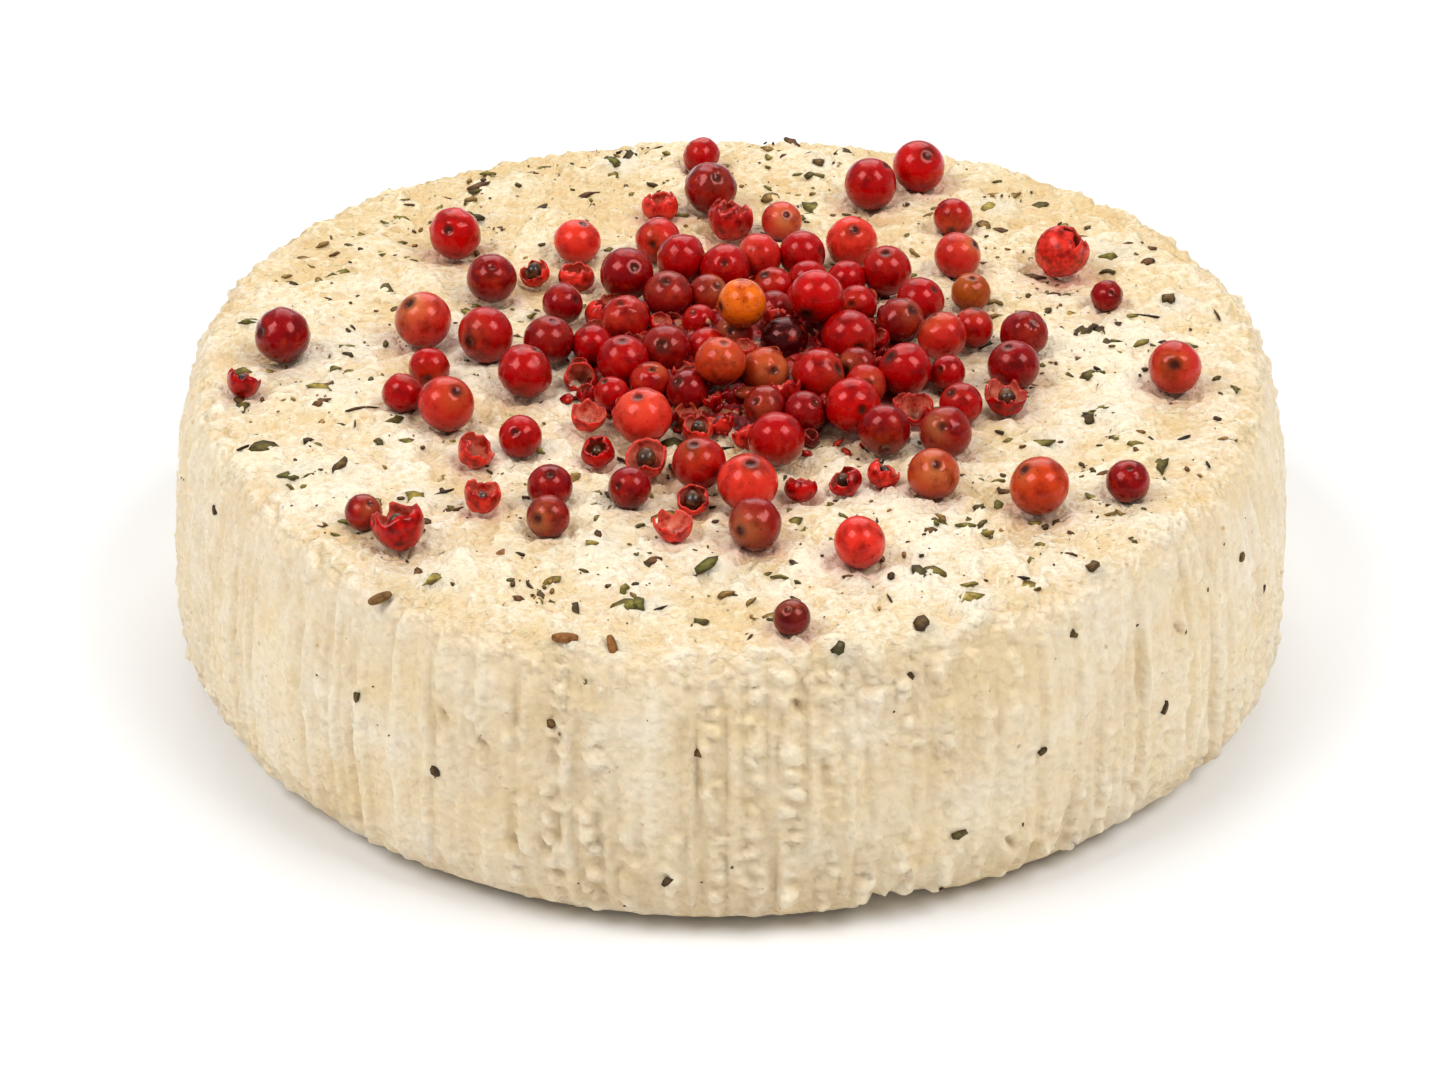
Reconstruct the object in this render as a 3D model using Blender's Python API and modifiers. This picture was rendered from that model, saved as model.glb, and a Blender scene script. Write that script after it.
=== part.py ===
"""A small round fresh tomme: soft white curd with herbs in it, under a heap of pink peppercorns.

Two solids, in metres, +Z up, with the origin at the middle of the flat base:
cheese_wheel, with the peppercorns, open husks and herb flakes that lie alone fused to it, and
peppercorn_heap, a low core of crumbled husks with the heap's peppercorns fused to it.
"""

import math
import random

import bmesh
import bpy
import numpy as np
from mathutils import Euler, Quaternion, Vector
from mathutils.bvhtree import BVHTree

MM = 0.001

# The wheel
HEIGHT = 28.6 * MM
WIDEST_RADIUS = 52.5 * MM
WIDEST_AT = 12.9 * MM
SHOULDER_RADIUS = 50.5 * MM
FOOT_RADIUS = 52.3 * MM
SHOULDER_ROUND = 2.4 * MM
FOOT_ROUND = 5.7 * MM

# How far the top and the foot leave a true circle, as shares of the radius: lobes, cosine, sine
TOP_LOBES = ((2, 0.002, 0.003), (3, 0.002, 0.021), (4, -0.006, -0.003))
FOOT_LOBES = ((2, 0.006, 0.005), (3, -0.005, 0.0), (4, 0.004, -0.008))

# The grooves that the basket mould leaves down the side
GROOVES = 84
GROOVE_DEPTH = 0.55 * MM
GROOVE_SWAY = 0.25
GROOVE_SEED = 11

# The uneven top, and the nick in the front edge of the foot
TOP_RELIEF = 0.35 * MM
TOP_RELIEF_CELL = 4.0 * MM
NICK_BEARING = math.radians(-73)
NICK_HALF_ANGLE = math.radians(3.2)
NICK_DEPTH = 1.5 * MM
NICK_HEIGHT = 2.6 * MM

# The rings that the wheel's solid is built on
WHEEL_SIDES = 2 * GROOVES
TOP_RINGS = (27 * MM, 42 * MM)
SIDE_ROWS = 4
ROUND_ROWS = 2

# Peppercorn diameters, and the sides and rows of the ball that stands for one
SIZES = {
    "large": (5.3 * MM, 8, 6),
    "middle": (4.8 * MM, 8, 5),
    "small": (4.0 * MM, 7, 5),
    "tiny": (3.3 * MM, 6, 5),
}
SIZE_SPREAD = 0.03
BERRY_SEED = 5

# Where the peppercorns lie, laid out by hand on a grid of whole millimetres over the top:
# +X to the right, +Y to the back, the wheel's middle at 0, 0
WHOLE = {
    "large": [(-27, 22), (19, 37), (14, 33), (-2, 32), (-42, 1), (-29, 4), (41, -5), (-26, -12), (27, -27),
              (-19, -6), (-23, 1), (11, 20), (-10, 13), (-4, 16), (8, 3), (11, 0), (16, -6), (8, -7),
              (11, -13), (-8, -15), (1, -26), (4, -19)],
    "middle": [(-23, 13), (11, -36), (2, -33), (-15, 21), (22, 18), (15, 14), (18, 8), (-7, 21), (-1, 15),
               (-10, 4), (27, 2), (26, -5), (20, 1), (14, -17), (17, -24), (19, -17), (-17, 0), (-10, -4),
               (-3, -23), (1, 1), (-1, -8), (5, 0), (3, -6), (7, 18), (3, 17), (-6, 9), (16, 4), (-6, -2)],
    "small": [(-3, 41), (22, 27), (5, 26), (23, 11), (-28, -4), (-30, -9), (-19, -17), (-9, -26),
              (-16, -26), (-16, -31), (35, -25), (-16, 8), (23, 3), (21, -11), (-4, -9), (3, -12),
              (-13, 0), (12, 8)],
    "tiny": [(36, 11), (-32, -30), (5, -47), (-11, -9), (20, -5), (-3, 5)],
}
HUSKS = {
    "large": [(32, 18)],
    "middle": [(-29, -33), (0, 26)],
    "small": [(-7, 30), (25, -9), (-15, 15), (-7, -21)],
    "tiny": [(-19, 16), (-45, -6), (-13, -13), (-3, -15), (17, -12), (-23, -19), (-12, -19), (6, -25),
             (10, -24), (14, -23), (-22, -27), (-5, -32), (-3, -27)],
}
# The peppercorns of the second layer, which lie on the others
CROWN = [(8, 3), (1, 1), (-1, -8)]

# How the heap is piled, and the spiral of small peppercorns that fills it where there is room
HEAP_MIDDLE = (2 * MM, 0.0)
HEAP_REACH = 21.5 * MM
FILL_COUNT = 60
FILL_REACH = 16 * MM
FILL_ROOM = 0.86
GOLDEN_TURN = math.radians(137.5)
TOUCH = 0.9
SETTLE_STEPS = 120
BERRY_SINK = 0.6 * MM
GAP = 0.3 * MM

# The heap's core of crumbled husks
CORE_SIDES = 40
CORE_EDGE = 1.3 * MM
CORE_CROWN = 3.4 * MM
CORE_LEAST_REACH = 13 * MM
CORE_SHORT_OF_BERRY = 0.8 * MM
CORE_ARC = math.radians(10)

# Herbs: half length, half width and half thickness of a flake or seed, and where the large ones lie
FLAKE_SINK = 0.1 * MM
FLAKE_SEED = 8
FLAKES = {
    "seed": ((1.1, 0.5, 0.45), [(-30, -41), (-14, -48), (-10, -49), (-20, -34)]),
    "dark": ((1.0, 0.6, 0.4), [(16, -46), (16, -38), (31, -37), (9, -50), (-35, -20), (42, 12),
                               (-26, 30), (9, 42)]),
    "leaf": ((1.3, 0.7, 0.35), [(20, -42), (-8, -43), (-26, -39), (-12, -33), (-40, -21), (-28, -25),
                                (-36, 3), (-46, 8), (-38, -5), (28, -15), (-2, -37), (-12, 42), (26, 33),
                                (37, 22), (33, -10), (-25, 9)]),
}
# Flakes in the side: bearing from +X in degrees, and height in millimetres
SIDE_FLAKES = [(-120, 12), (-54, 14), (-66, 5), (-131, 16), (-144, 18), (-45, 23), (-31, 21),
               (-20, 20), (-160, 24)]


def clear_scene():
    """Remove every object that the file already has."""
    for thing in list(bpy.data.objects):
        bpy.data.objects.remove(thing, do_unlink=True)


def new_collection(name):
    """A collection of that name, in the scene."""
    collection = bpy.data.collections.new(name)
    bpy.context.scene.collection.children.link(collection)
    return collection


def add_object(name, mesh, collection):
    """An object of that mesh, in the collection."""
    thing = bpy.data.objects.new(name, mesh)
    collection.objects.link(thing)
    return thing


def plain_material(name, colour, roughness):
    """A material of one linear colour and roughness, with no metal in it."""
    material = bpy.data.materials.new(name)
    material.use_nodes = True
    shader = material.node_tree.nodes["Principled BSDF"]
    shader.inputs["Base Color"].default_value = (*colour, 1.0)
    shader.inputs["Roughness"].default_value = roughness
    shader.inputs["Metallic"].default_value = 0.0
    return material


def side_radius(height):
    """The radius of the side, which bulges out to its widest and draws in above and below."""
    above = np.clip((height - WIDEST_AT) / (HEIGHT - WIDEST_AT), 0, 1)
    below = np.clip((WIDEST_AT - height) / WIDEST_AT, 0, 1)
    drawn_in = (WIDEST_RADIUS - SHOULDER_RADIUS) * above ** 2 + (WIDEST_RADIUS - FOOT_RADIUS) * below ** 2
    return WIDEST_RADIUS - drawn_in


def wheel_profile():
    """The half section, from the middle of the top out over the shoulder and down to the base."""
    points = [(0.0, HEIGHT)] + [(radius, HEIGHT) for radius in TOP_RINGS]
    for row in range(ROUND_ROWS + 1):
        turn = row / ROUND_ROWS * math.pi / 2
        height = HEIGHT - SHOULDER_ROUND * (1 - math.cos(turn))
        points.append((side_radius(height) - SHOULDER_ROUND * (1 - math.sin(turn)), height))
    side_top = HEIGHT - SHOULDER_ROUND
    for row in range(1, SIDE_ROWS):
        height = side_top + (FOOT_ROUND - side_top) * row / SIDE_ROWS
        points.append((side_radius(height), height))
    for row in range(ROUND_ROWS + 1):
        turn = row / ROUND_ROWS * math.pi / 2
        height = FOOT_ROUND * (1 - math.sin(turn))
        points.append((side_radius(height) - FOOT_ROUND * (1 - math.cos(turn)), height))
    points.append((0.0, 0.0))
    return points


def turned_mesh(name, profile, sides, collection):
    """The mesh that a profile at +X, given as radius and height, makes when it is turned about Z."""
    line = bpy.data.meshes.new(name + "_profile")
    edges = [(i, i + 1) for i in range(len(profile) - 1)]
    line.from_pydata([(radius, 0.0, height) for radius, height in profile], edges, [])
    thing = add_object(name + "_profile", line, collection)
    screw = thing.modifiers.new("turn", "SCREW")
    screw.steps = sides
    screw.render_steps = sides
    screw.use_merge_vertices = True
    screw.merge_threshold = 0.0001
    mesh = evaluated_mesh(thing)
    bpy.data.objects.remove(thing, do_unlink=True)
    return mesh


def evaluated_mesh(thing):
    """The object's mesh with its modifiers applied."""
    thing_now = thing.evaluated_get(bpy.context.evaluated_depsgraph_get())
    return bpy.data.meshes.new_from_object(thing_now)


def vertex_array(mesh):
    """The mesh's vertices as rows of x, y and z."""
    flat = np.empty(3 * len(mesh.vertices))
    mesh.vertices.foreach_get("co", flat)
    return flat.reshape(-1, 3)


def lobes(bearing, terms):
    """The sum of the lobes at a bearing, as a share of the radius."""
    return sum(c * np.cos(n * bearing) + s * np.sin(n * bearing) for n, c, s in terms)


def lump_field(x, y, cell, seed):
    """Soft lumps about one cell across, from -1 to 1: crossed waves with seeded directions and phases."""
    draw = random.Random(seed)
    total = np.zeros_like(x)
    waves = 9
    for _ in range(waves):
        heading = draw.uniform(0, 2 * math.pi)
        phase = draw.uniform(0, 2 * math.pi)
        pitch = 2 * cell * draw.uniform(0.7, 1.5)
        total += np.sin(2 * math.pi * (x * math.cos(heading) + y * math.sin(heading)) / pitch + phase)
    return total / waves * 2


def groove_draws():
    """Each groove's shift round the wheel, as a share of the spacing, its depth, and its middle's height."""
    draw = random.Random(GROOVE_SEED)
    rows = []
    for _ in range(GROOVES):
        shift = draw.uniform(-GROOVE_SWAY, GROOVE_SWAY)
        depth = GROOVE_DEPTH * (0.25 + 0.75 * draw.random() ** 2)
        middle = draw.uniform(0.3, 0.7)
        rows.append((shift, depth, middle))
    return np.array(rows)


def smooth_step(value, low, high):
    """0 below low, 1 above high, and a smooth rise between them."""
    share = np.clip((value - low) / (high - low), 0, 1)
    return share * share * (3 - 2 * share)


def shape_wheel(mesh):
    """Move the turned wheel's vertices: uneven outline, mould grooves, uneven top and the nick."""
    points = vertex_array(mesh)
    radius = np.hypot(points[:, 0], points[:, 1])
    bearing = np.arctan2(points[:, 1], points[:, 0])
    height = points[:, 2].copy()
    share_up = height / HEIGHT

    # Every second line of vertices is a groove, and all of them shift a little round the wheel
    grooves = groove_draws()
    line = np.rint(bearing / (2 * math.pi) * WHEEL_SIDES).astype(int) % WHEEL_SIDES
    groove = line // 2
    shift = np.where(line % 2 == 0, grooves[groove, 0],
                     (grooves[groove, 0] + grooves[(groove + 1) % GROOVES, 0]) / 2)
    bearing = bearing + shift * 2 * math.pi / GROOVES
    on_side = smooth_step(share_up, 0.03, 0.2) * (1 - smooth_step(share_up, 0.88, 0.99))
    reach = 1 - smooth_step(np.abs(share_up - grooves[groove, 2]), 0.25, 0.6)
    depth = np.where(line % 2 == 0, grooves[groove, 1], 0.0) * on_side * reach

    grown = 1 + (1 - share_up) * lobes(bearing, FOOT_LOBES) + share_up * lobes(bearing, TOP_LOBES)
    radius = radius * grown - depth

    from_nick = np.abs((bearing - NICK_BEARING + math.pi) % (2 * math.pi) - math.pi) / NICK_HALF_ANGLE
    at_rim = smooth_step(radius, 0.8 * WIDEST_RADIUS, 0.9 * WIDEST_RADIUS)
    at_foot = 1 - smooth_step(height, 0.0, NICK_HEIGHT)
    radius = radius - NICK_DEPTH * at_foot * at_rim * (1 - smooth_step(from_nick, 0.4, 1.0))

    points[:, 0] = radius * np.cos(bearing)
    points[:, 1] = radius * np.sin(bearing)
    uneven = lump_field(points[:, 0], points[:, 1], TOP_RELIEF_CELL, GROOVE_SEED)
    on_top = smooth_step(share_up, 0.99, 1.0) * smooth_step(radius, TOP_RINGS[0] * 1.05, TOP_RINGS[1])
    points[:, 2] = height + TOP_RELIEF * uneven * on_top
    mesh.vertices.foreach_set("co", points.ravel())
    mesh.update()


def fill_rows(laid):
    """Small peppercorns on a sunflower spiral round the heap's middle, where those laid below leave room."""
    low = [(x, y, radius) for x, y, radius, _, crown in laid if not crown]
    rows = []
    radius = SIZES["small"][0] / 2
    for i in range(FILL_COUNT):
        reach = FILL_REACH * math.sqrt((i + 0.5) / FILL_COUNT)
        x = HEAP_MIDDLE[0] + reach * math.cos(i * GOLDEN_TURN)
        y = HEAP_MIDDLE[1] + reach * math.sin(i * GOLDEN_TURN)
        if all(math.hypot(x - a, y - b) > FILL_ROOM * (radius + r) for a, b, r in low):
            low.append((x, y, radius))
            rows.append((x, y, radius, False, False))
    return rows


def laid_berries():
    """The place and radius of every peppercorn and husk, whether it is a husk, and whether it is in the heap.

    Those of the lower layer settle first: each step moves any two that overlap apart, half each, along
    the line between their middles. The crown then comes down on them, each until it touches one.
    """
    draw = random.Random(BERRY_SEED)
    rows = []
    for kind, table in (("whole", WHOLE), ("husk", HUSKS)):
        for size, places in table.items():
            for place in places:
                radius = SIZES[size][0] / 2 * draw.uniform(1 - SIZE_SPREAD, 1 + SIZE_SPREAD)
                rows.append((place[0] * MM, place[1] * MM, radius, kind == "husk", place in CROWN))
    rows += fill_rows(rows)
    table = np.array(rows, dtype=float)
    radius = table[:, 2]
    husk = table[:, 3] > 0.5
    crown = table[:, 4] > 0.5
    in_heap = np.hypot(table[:, 0] - HEAP_MIDDLE[0], table[:, 1] - HEAP_MIDDLE[1]) < HEAP_REACH
    rest = np.where(in_heap, HEIGHT + GAP, HEIGHT - BERRY_SINK) + radius
    place = np.column_stack([table[:, :2], rest])

    touch = np.add.outer(radius, radius)
    both_in_heap = np.logical_and.outer(in_heap, in_heap)
    touch = np.where(both_in_heap, touch * TOUCH, touch + 2 * GAP)
    one_layer = ~np.logical_or.outer(crown, crown) & ~np.eye(len(radius), dtype=bool)
    for _ in range(SETTLE_STEPS):
        between = place[:, None, :2] - place[None, :, :2]
        distance = np.linalg.norm(between, axis=2) + 1e-9
        overlap = np.where(one_layer, np.clip(touch - distance, 0, None), 0)
        place[:, :2] += (between / distance[:, :, None] * overlap[:, :, None] / 4).sum(axis=1)
    for i in np.flatnonzero(crown):
        off = np.linalg.norm(place[:, :2] - place[i, :2], axis=1)
        climb = np.sqrt(np.clip(touch[i] ** 2 - off ** 2, 0, None))
        place[i, 2] = max(rest[i], (place[:, 2] + climb)[~crown].max())
    return place, radius, husk, in_heap


def ball_mesh(name, radius, husk):
    """A peppercorn, with fewer faces if small. A husk's upper part is folded in, which leaves a thick cup."""
    _, sides, rows = min(SIZES.values(), key=lambda size: abs(size[0] - 2 * radius))
    ball = bmesh.new()
    bmesh.ops.create_uvsphere(ball, u_segments=sides, v_segments=rows, radius=radius)
    if husk:
        rim = 0.3 * radius
        for vertex in ball.verts:
            if vertex.co.z > rim:
                vertex.co.z = rim - 0.75 * (vertex.co.z - rim)
                vertex.co.x *= 0.86
                vertex.co.y *= 0.86
    mesh = bpy.data.meshes.new(name)
    ball.to_mesh(mesh)
    ball.free()
    return mesh


def add_berries(place, radius, husk, chosen, collection):
    """The chosen peppercorns and husks, each spun about Z, and each husk tipped a little."""
    draw = random.Random(BERRY_SEED + 1)
    for i in range(len(radius)):
        spin = draw.uniform(0, 2 * math.pi)
        tip = draw.uniform(-0.6, 0.6)
        if not chosen[i]:
            continue
        berry = add_object("berry", ball_mesh("berry", radius[i], husk[i]), collection)
        berry.location = Vector(place[i])
        berry.rotation_euler = Euler((tip if husk[i] else 0.0, 0.0, spin))


def flake_mesh(name, half_sizes):
    """A bit of herb or a seed: a ball of 20 faces drawn out to its three half sizes."""
    chip = bmesh.new()
    bmesh.ops.create_icosphere(chip, subdivisions=1, radius=1.0)
    bmesh.ops.scale(chip, vec=Vector(half_sizes), verts=chip.verts)
    mesh = bpy.data.meshes.new(name)
    chip.to_mesh(mesh)
    chip.free()
    return mesh


def clear_of_berries(x, y, reach, place, radius):
    """Whether a thing of that reach at x, y lies clear of every peppercorn."""
    return bool(np.all(np.hypot(place[:, 0] - x, place[:, 1] - y) > radius + reach + 2 * GAP))


def lay_flake(kind, half, surface, start, heading, spin, collection):
    """Lay a flake on the surface that a line from start meets, flat against it and mostly sunk in."""
    hit, normal, _, _ = surface.ray_cast(Vector(start), Vector(heading))
    flake = add_object("flake", flake_mesh(kind, half), collection)
    flake.location = hit - normal * FLAKE_SINK
    flake.rotation_mode = "QUATERNION"
    flake.rotation_quaternion = normal.to_track_quat("Z", "X") @ Quaternion((0, 0, 1), spin)


def add_flakes(wheel_mesh, place, radius, collection):
    """The larger herb flakes and seeds: in the top where no peppercorn lies, and in the side."""
    corners = [vertex.co for vertex in wheel_mesh.vertices]
    surface = BVHTree.FromPolygons(corners, [face.vertices for face in wheel_mesh.polygons])
    draw = random.Random(FLAKE_SEED)
    for kind, (half_sizes, places) in FLAKES.items():
        half = [value * MM for value in half_sizes]
        for across, away in places:
            spin = draw.uniform(0, math.pi)
            start = (across * MM, away * MM, 2 * HEIGHT)
            if clear_of_berries(start[0], start[1], half[0], place, radius):
                lay_flake(kind, half, surface, start, (0, 0, -1), spin, collection)
    half = [value * MM for value in FLAKES["dark"][0]]
    for degrees, up in SIDE_FLAKES:
        out = (math.cos(math.radians(degrees)), math.sin(math.radians(degrees)))
        start = (2 * WIDEST_RADIUS * out[0], 2 * WIDEST_RADIUS * out[1], up * MM)
        spin = draw.uniform(0, math.pi)
        lay_flake("side", half, surface, start, (-out[0], -out[1], 0), spin, collection)


def core_reach(bearing, place, radius, in_heap):
    """How far the heap's core reaches at a bearing: to the outermost heap peppercorns, short of lone ones."""
    across = place[:, 0] - HEAP_MIDDLE[0]
    away = place[:, 1] - HEAP_MIDDLE[1]
    distance = np.hypot(across, away)
    off = np.abs((np.arctan2(away, across) - bearing + math.pi) % (2 * math.pi) - math.pi)
    near_heap = in_heap & (off < CORE_ARC)
    near_lone = ~in_heap & (off * distance < radius + 2 * GAP + HEAP_REACH * math.pi / CORE_SIDES)
    reach = max([CORE_LEAST_REACH, *(distance[near_heap] - CORE_SHORT_OF_BERRY)])
    return min([reach, *((distance - radius)[near_lone] - 2 * GAP)])


def core_mesh(place, radius, in_heap, collection):
    """The heap's core: a low mound, flat below, whose edge follows the outermost peppercorns."""
    rows = ((0.0, CORE_CROWN), (0.35, 0.9 * CORE_CROWN), (0.7, 0.6 * CORE_CROWN), (0.96, CORE_EDGE),
            (1.0, 0.6 * CORE_EDGE), (1.0, 0.0), (0.0, 0.0))
    mesh = turned_mesh("peppercorn_heap", [(share * HEAP_REACH, height) for share, height in rows],
                       CORE_SIDES, collection)
    points = vertex_array(mesh)
    for i, (x, y, _) in enumerate(points):
        scale = core_reach(math.atan2(y, x), place, radius, in_heap) / HEAP_REACH
        points[i, 0] = HEAP_MIDDLE[0] + x * scale
        points[i, 1] = HEAP_MIDDLE[1] + y * scale
    points[:, 2] += HEIGHT + GAP
    mesh.vertices.foreach_set("co", points.ravel())
    mesh.update()
    return mesh


def fuse(body, pieces):
    """Join the pieces of a collection to the body with one union, apply it, and remove the pieces."""
    union = body.modifiers.new("fuse", "BOOLEAN")
    union.operation = "UNION"
    union.operand_type = "COLLECTION"
    union.collection = pieces
    union.solver = "MANIFOLD"
    mesh = evaluated_mesh(body)
    body.modifiers.remove(union)
    body.data = mesh
    for piece in list(pieces.objects):
        bpy.data.objects.remove(piece, do_unlink=True)
    bpy.data.collections.remove(pieces)


def drop_scraps(mesh):
    """Keep only the largest connected body of the mesh."""
    work = bmesh.new()
    work.from_mesh(mesh)
    left = set(work.verts)
    bodies = []
    while left:
        queue = [left.pop()]
        body = set(queue)
        while queue:
            for edge in queue.pop().link_edges:
                for vertex in edge.verts:
                    if vertex in left:
                        left.remove(vertex)
                        body.add(vertex)
                        queue.append(vertex)
        bodies.append(body)
    bodies.sort(key=len, reverse=True)
    print("bodies of", [len(body) for body in bodies[:8]], "vertices")
    scraps = [vertex for body in bodies[1:] for vertex in body]
    bmesh.ops.delete(work, geom=scraps, context="VERTS")
    work.to_mesh(mesh)
    work.free()


def finish(thing, material):
    """Give the object its material and smooth shading with sharp creases."""
    drop_scraps(thing.data)
    thing.data.materials.clear()
    thing.data.materials.append(material)
    thing.data.shade_smooth()
    thing.data.set_sharp_from_angle(angle=math.radians(40))


def main():
    """Build the two solids."""
    clear_scene()
    parts = new_collection("tomme")
    place, radius, husk, in_heap = laid_berries()

    wheel_mesh = turned_mesh("cheese_wheel", wheel_profile(), WHEEL_SIDES, parts)
    shape_wheel(wheel_mesh)
    wheel = add_object("cheese_wheel", wheel_mesh, parts)
    on_wheel = new_collection("on_wheel")
    add_berries(place, radius, husk, ~in_heap, on_wheel)
    add_flakes(wheel_mesh, place, radius, on_wheel)
    fuse(wheel, on_wheel)
    finish(wheel, plain_material("fresh_curd", (0.78, 0.64, 0.44), 0.5))

    heap = add_object("peppercorn_heap", core_mesh(place, radius, in_heap, parts), parts)
    on_heap = new_collection("on_heap")
    add_berries(place, radius, husk, in_heap, on_heap)
    fuse(heap, on_heap)
    finish(heap, plain_material("pink_peppercorn", (0.36, 0.02, 0.015), 0.3))
    print("lone", int((~in_heap).sum()), "in the heap", int(in_heap.sum()))


main()
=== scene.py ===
# %% [markdown]
# # A small fresh tomme under pink peppercorns
#
# The real thing is a wheel of fresh white curd, about 105 mm across, that was drained in a ribbed
# basket. Herbs are mixed into the curd, and a handful of pink peppercorns lies on its top. The lesson
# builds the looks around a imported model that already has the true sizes, so every place below is in
# metres in that model's frame: +Z is up, +X is right, and the viewer stands at -Y.

# %% Load the frame
import functools
import math
import random

import bpy
import numpy as np
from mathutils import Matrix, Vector


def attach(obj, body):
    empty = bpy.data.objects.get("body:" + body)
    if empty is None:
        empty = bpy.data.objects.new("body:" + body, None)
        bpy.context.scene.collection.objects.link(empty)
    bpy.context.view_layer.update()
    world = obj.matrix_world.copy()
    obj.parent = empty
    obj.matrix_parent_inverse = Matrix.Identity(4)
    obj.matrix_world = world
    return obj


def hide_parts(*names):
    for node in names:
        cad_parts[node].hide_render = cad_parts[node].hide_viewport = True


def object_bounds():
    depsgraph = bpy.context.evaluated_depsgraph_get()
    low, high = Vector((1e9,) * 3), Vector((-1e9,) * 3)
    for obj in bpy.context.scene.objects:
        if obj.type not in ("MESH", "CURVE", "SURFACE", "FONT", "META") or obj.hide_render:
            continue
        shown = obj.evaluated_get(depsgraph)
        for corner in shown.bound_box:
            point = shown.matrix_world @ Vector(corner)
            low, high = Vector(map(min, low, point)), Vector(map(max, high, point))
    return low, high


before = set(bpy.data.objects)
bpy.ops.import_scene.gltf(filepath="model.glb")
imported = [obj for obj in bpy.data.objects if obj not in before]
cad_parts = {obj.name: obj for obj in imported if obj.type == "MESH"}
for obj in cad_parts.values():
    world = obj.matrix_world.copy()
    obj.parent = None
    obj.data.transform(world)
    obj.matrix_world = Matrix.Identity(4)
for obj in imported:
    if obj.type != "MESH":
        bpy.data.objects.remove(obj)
cad_low, cad_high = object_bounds()
print("frame box", [round(v, 4) for v in (*cad_low, *cad_high)], "with", len(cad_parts), "nodes")

# %% [markdown]
# ## Sizes
#
# The wheel's own sizes are those of the solid model. A wheel could be turned from one profile, but
# hand-filled curd is never round: a few sine waves round the rim, called lobes here, give the egg
# shape that the mould and the draining left.

# %% Sizes of the wheel
MM = 0.001
HEIGHT = 28.6 * MM
WIDEST_RADIUS = 52.5 * MM
WIDEST_AT = 12.9 * MM
SHOULDER_RADIUS = 50.5 * MM
FOOT_RADIUS = 52.3 * MM
SHOULDER_ROUND = 2.4 * MM
FOOT_ROUND = 5.7 * MM
TOP_LOBES = ((2, 0.002, 0.003), (3, 0.002, 0.021), (4, -0.006, -0.003))
FOOT_LOBES = ((2, 0.006, 0.005), (3, -0.005, 0.0), (4, 0.004, -0.008))
GROOVES = 84
GROOVE_DEPTH = 0.55 * MM
GROOVE_SWAY = 0.25
GROOVE_SEED = 11
NICK_BEARING = math.radians(-77)
NICK_EDGE = math.radians(0.8)
NICK_WIDTH = math.radians(10)
NICK_DEPTH = 2.7 * MM
NICK_HEIGHT = 3.6 * MM
ROUND_THE_WHEEL = 2 * math.pi * WIDEST_RADIUS
print("wheel", round(2 * WIDEST_RADIUS / MM), "mm across,", round(HEIGHT / MM, 1), "mm tall")

# %% [markdown]
# ## Small helpers
#
# A few helpers do the work that every piece shares: one turns a hex colour, as a paint chart gives
# it, into the linear light values that a shader needs; one puts whole arrays of points and faces into
# a mesh; and one adds a shader node with its settings and links.

# %% Colours, meshes and nodes
BOX_MARGIN = 0.02 * MM


def hex_colour(code):
    """An sRGB hex colour as linear red, green, blue and alpha: each channel through the sRGB curve."""
    channels = np.array([int(code[i:i + 2], 16) for i in (1, 3, 5)]) / 255
    linear = np.where(channels <= 0.04045, channels / 12.92, ((channels + 0.055) / 1.055) ** 2.4)
    return (*linear.tolist(), 1.0)


def new_piece(name, points, faces, material, attributes=None):
    """A smooth-shaded mesh object from an array of points and one of faces, riding on the root body.

    Each attribute is a named array with one value, or one colour, for each point. Points are kept
    just inside the solid model's box.
    """
    mesh = bpy.data.meshes.new(name)
    points = np.clip(points, np.array(cad_low) + BOX_MARGIN, np.array(cad_high) - BOX_MARGIN)
    points[:, 2] = np.where(points[:, 2] < 1.5 * BOX_MARGIN, 0.0, points[:, 2])
    mesh.from_pydata(points, [], faces)
    for label, values in (attributes or {}).items():
        values = np.asarray(values, dtype=np.float32)
        if values.ndim == 1:
            mesh.attributes.new(label, "FLOAT", "POINT").data.foreach_set("value", values)
        else:
            mesh.attributes.new(label, "FLOAT_COLOR", "POINT").data.foreach_set("color", values.ravel())
    mesh.shade_smooth()
    mesh.materials.append(material)
    piece = bpy.data.objects.new(name, mesh)
    bpy.context.scene.collection.objects.link(piece)
    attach(piece, "root")
    triangles = sum(len(face) - 2 for face in faces)
    print(name, len(points), "points,", triangles, "triangles")
    return piece


def fill(node, settings, links):
    """Set a node's properties or the values of its sockets, a hex string as its colour, and feed sockets."""
    for key, value in settings.items():
        if isinstance(value, str) and value.startswith("#"):
            value = hex_colour(value)
        if isinstance(key, str) and hasattr(node, key):
            setattr(node, key, value)
        else:
            node.inputs[key].default_value = value
    for key, source in links.items():
        node.id_data.links.new(source, node.inputs[key])


def add_node(tree, kind, settings, links, out=None):
    """A new node with its settings and links. It gives back one output: the named one, or else the colour
    of a Mix node, as all of them mix colours here, or else the first."""
    node = tree.nodes.new("ShaderNode" + kind)
    if kind == "Mix":
        node.data_type = "RGBA"
    fill(node, settings, links)
    return node.outputs[out or (2 if kind == "Mix" else 0)]


def new_material(name):
    """A node material of that name, the helper that adds nodes to it, its shader, its Object coordinates."""
    material = bpy.data.materials.new(name)
    material.use_nodes = True
    tree = material.node_tree
    add = functools.partial(add_node, tree)
    return material, add, tree.nodes["Principled BSDF"], add("TexCoord", {}, {}, "Object")


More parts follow.
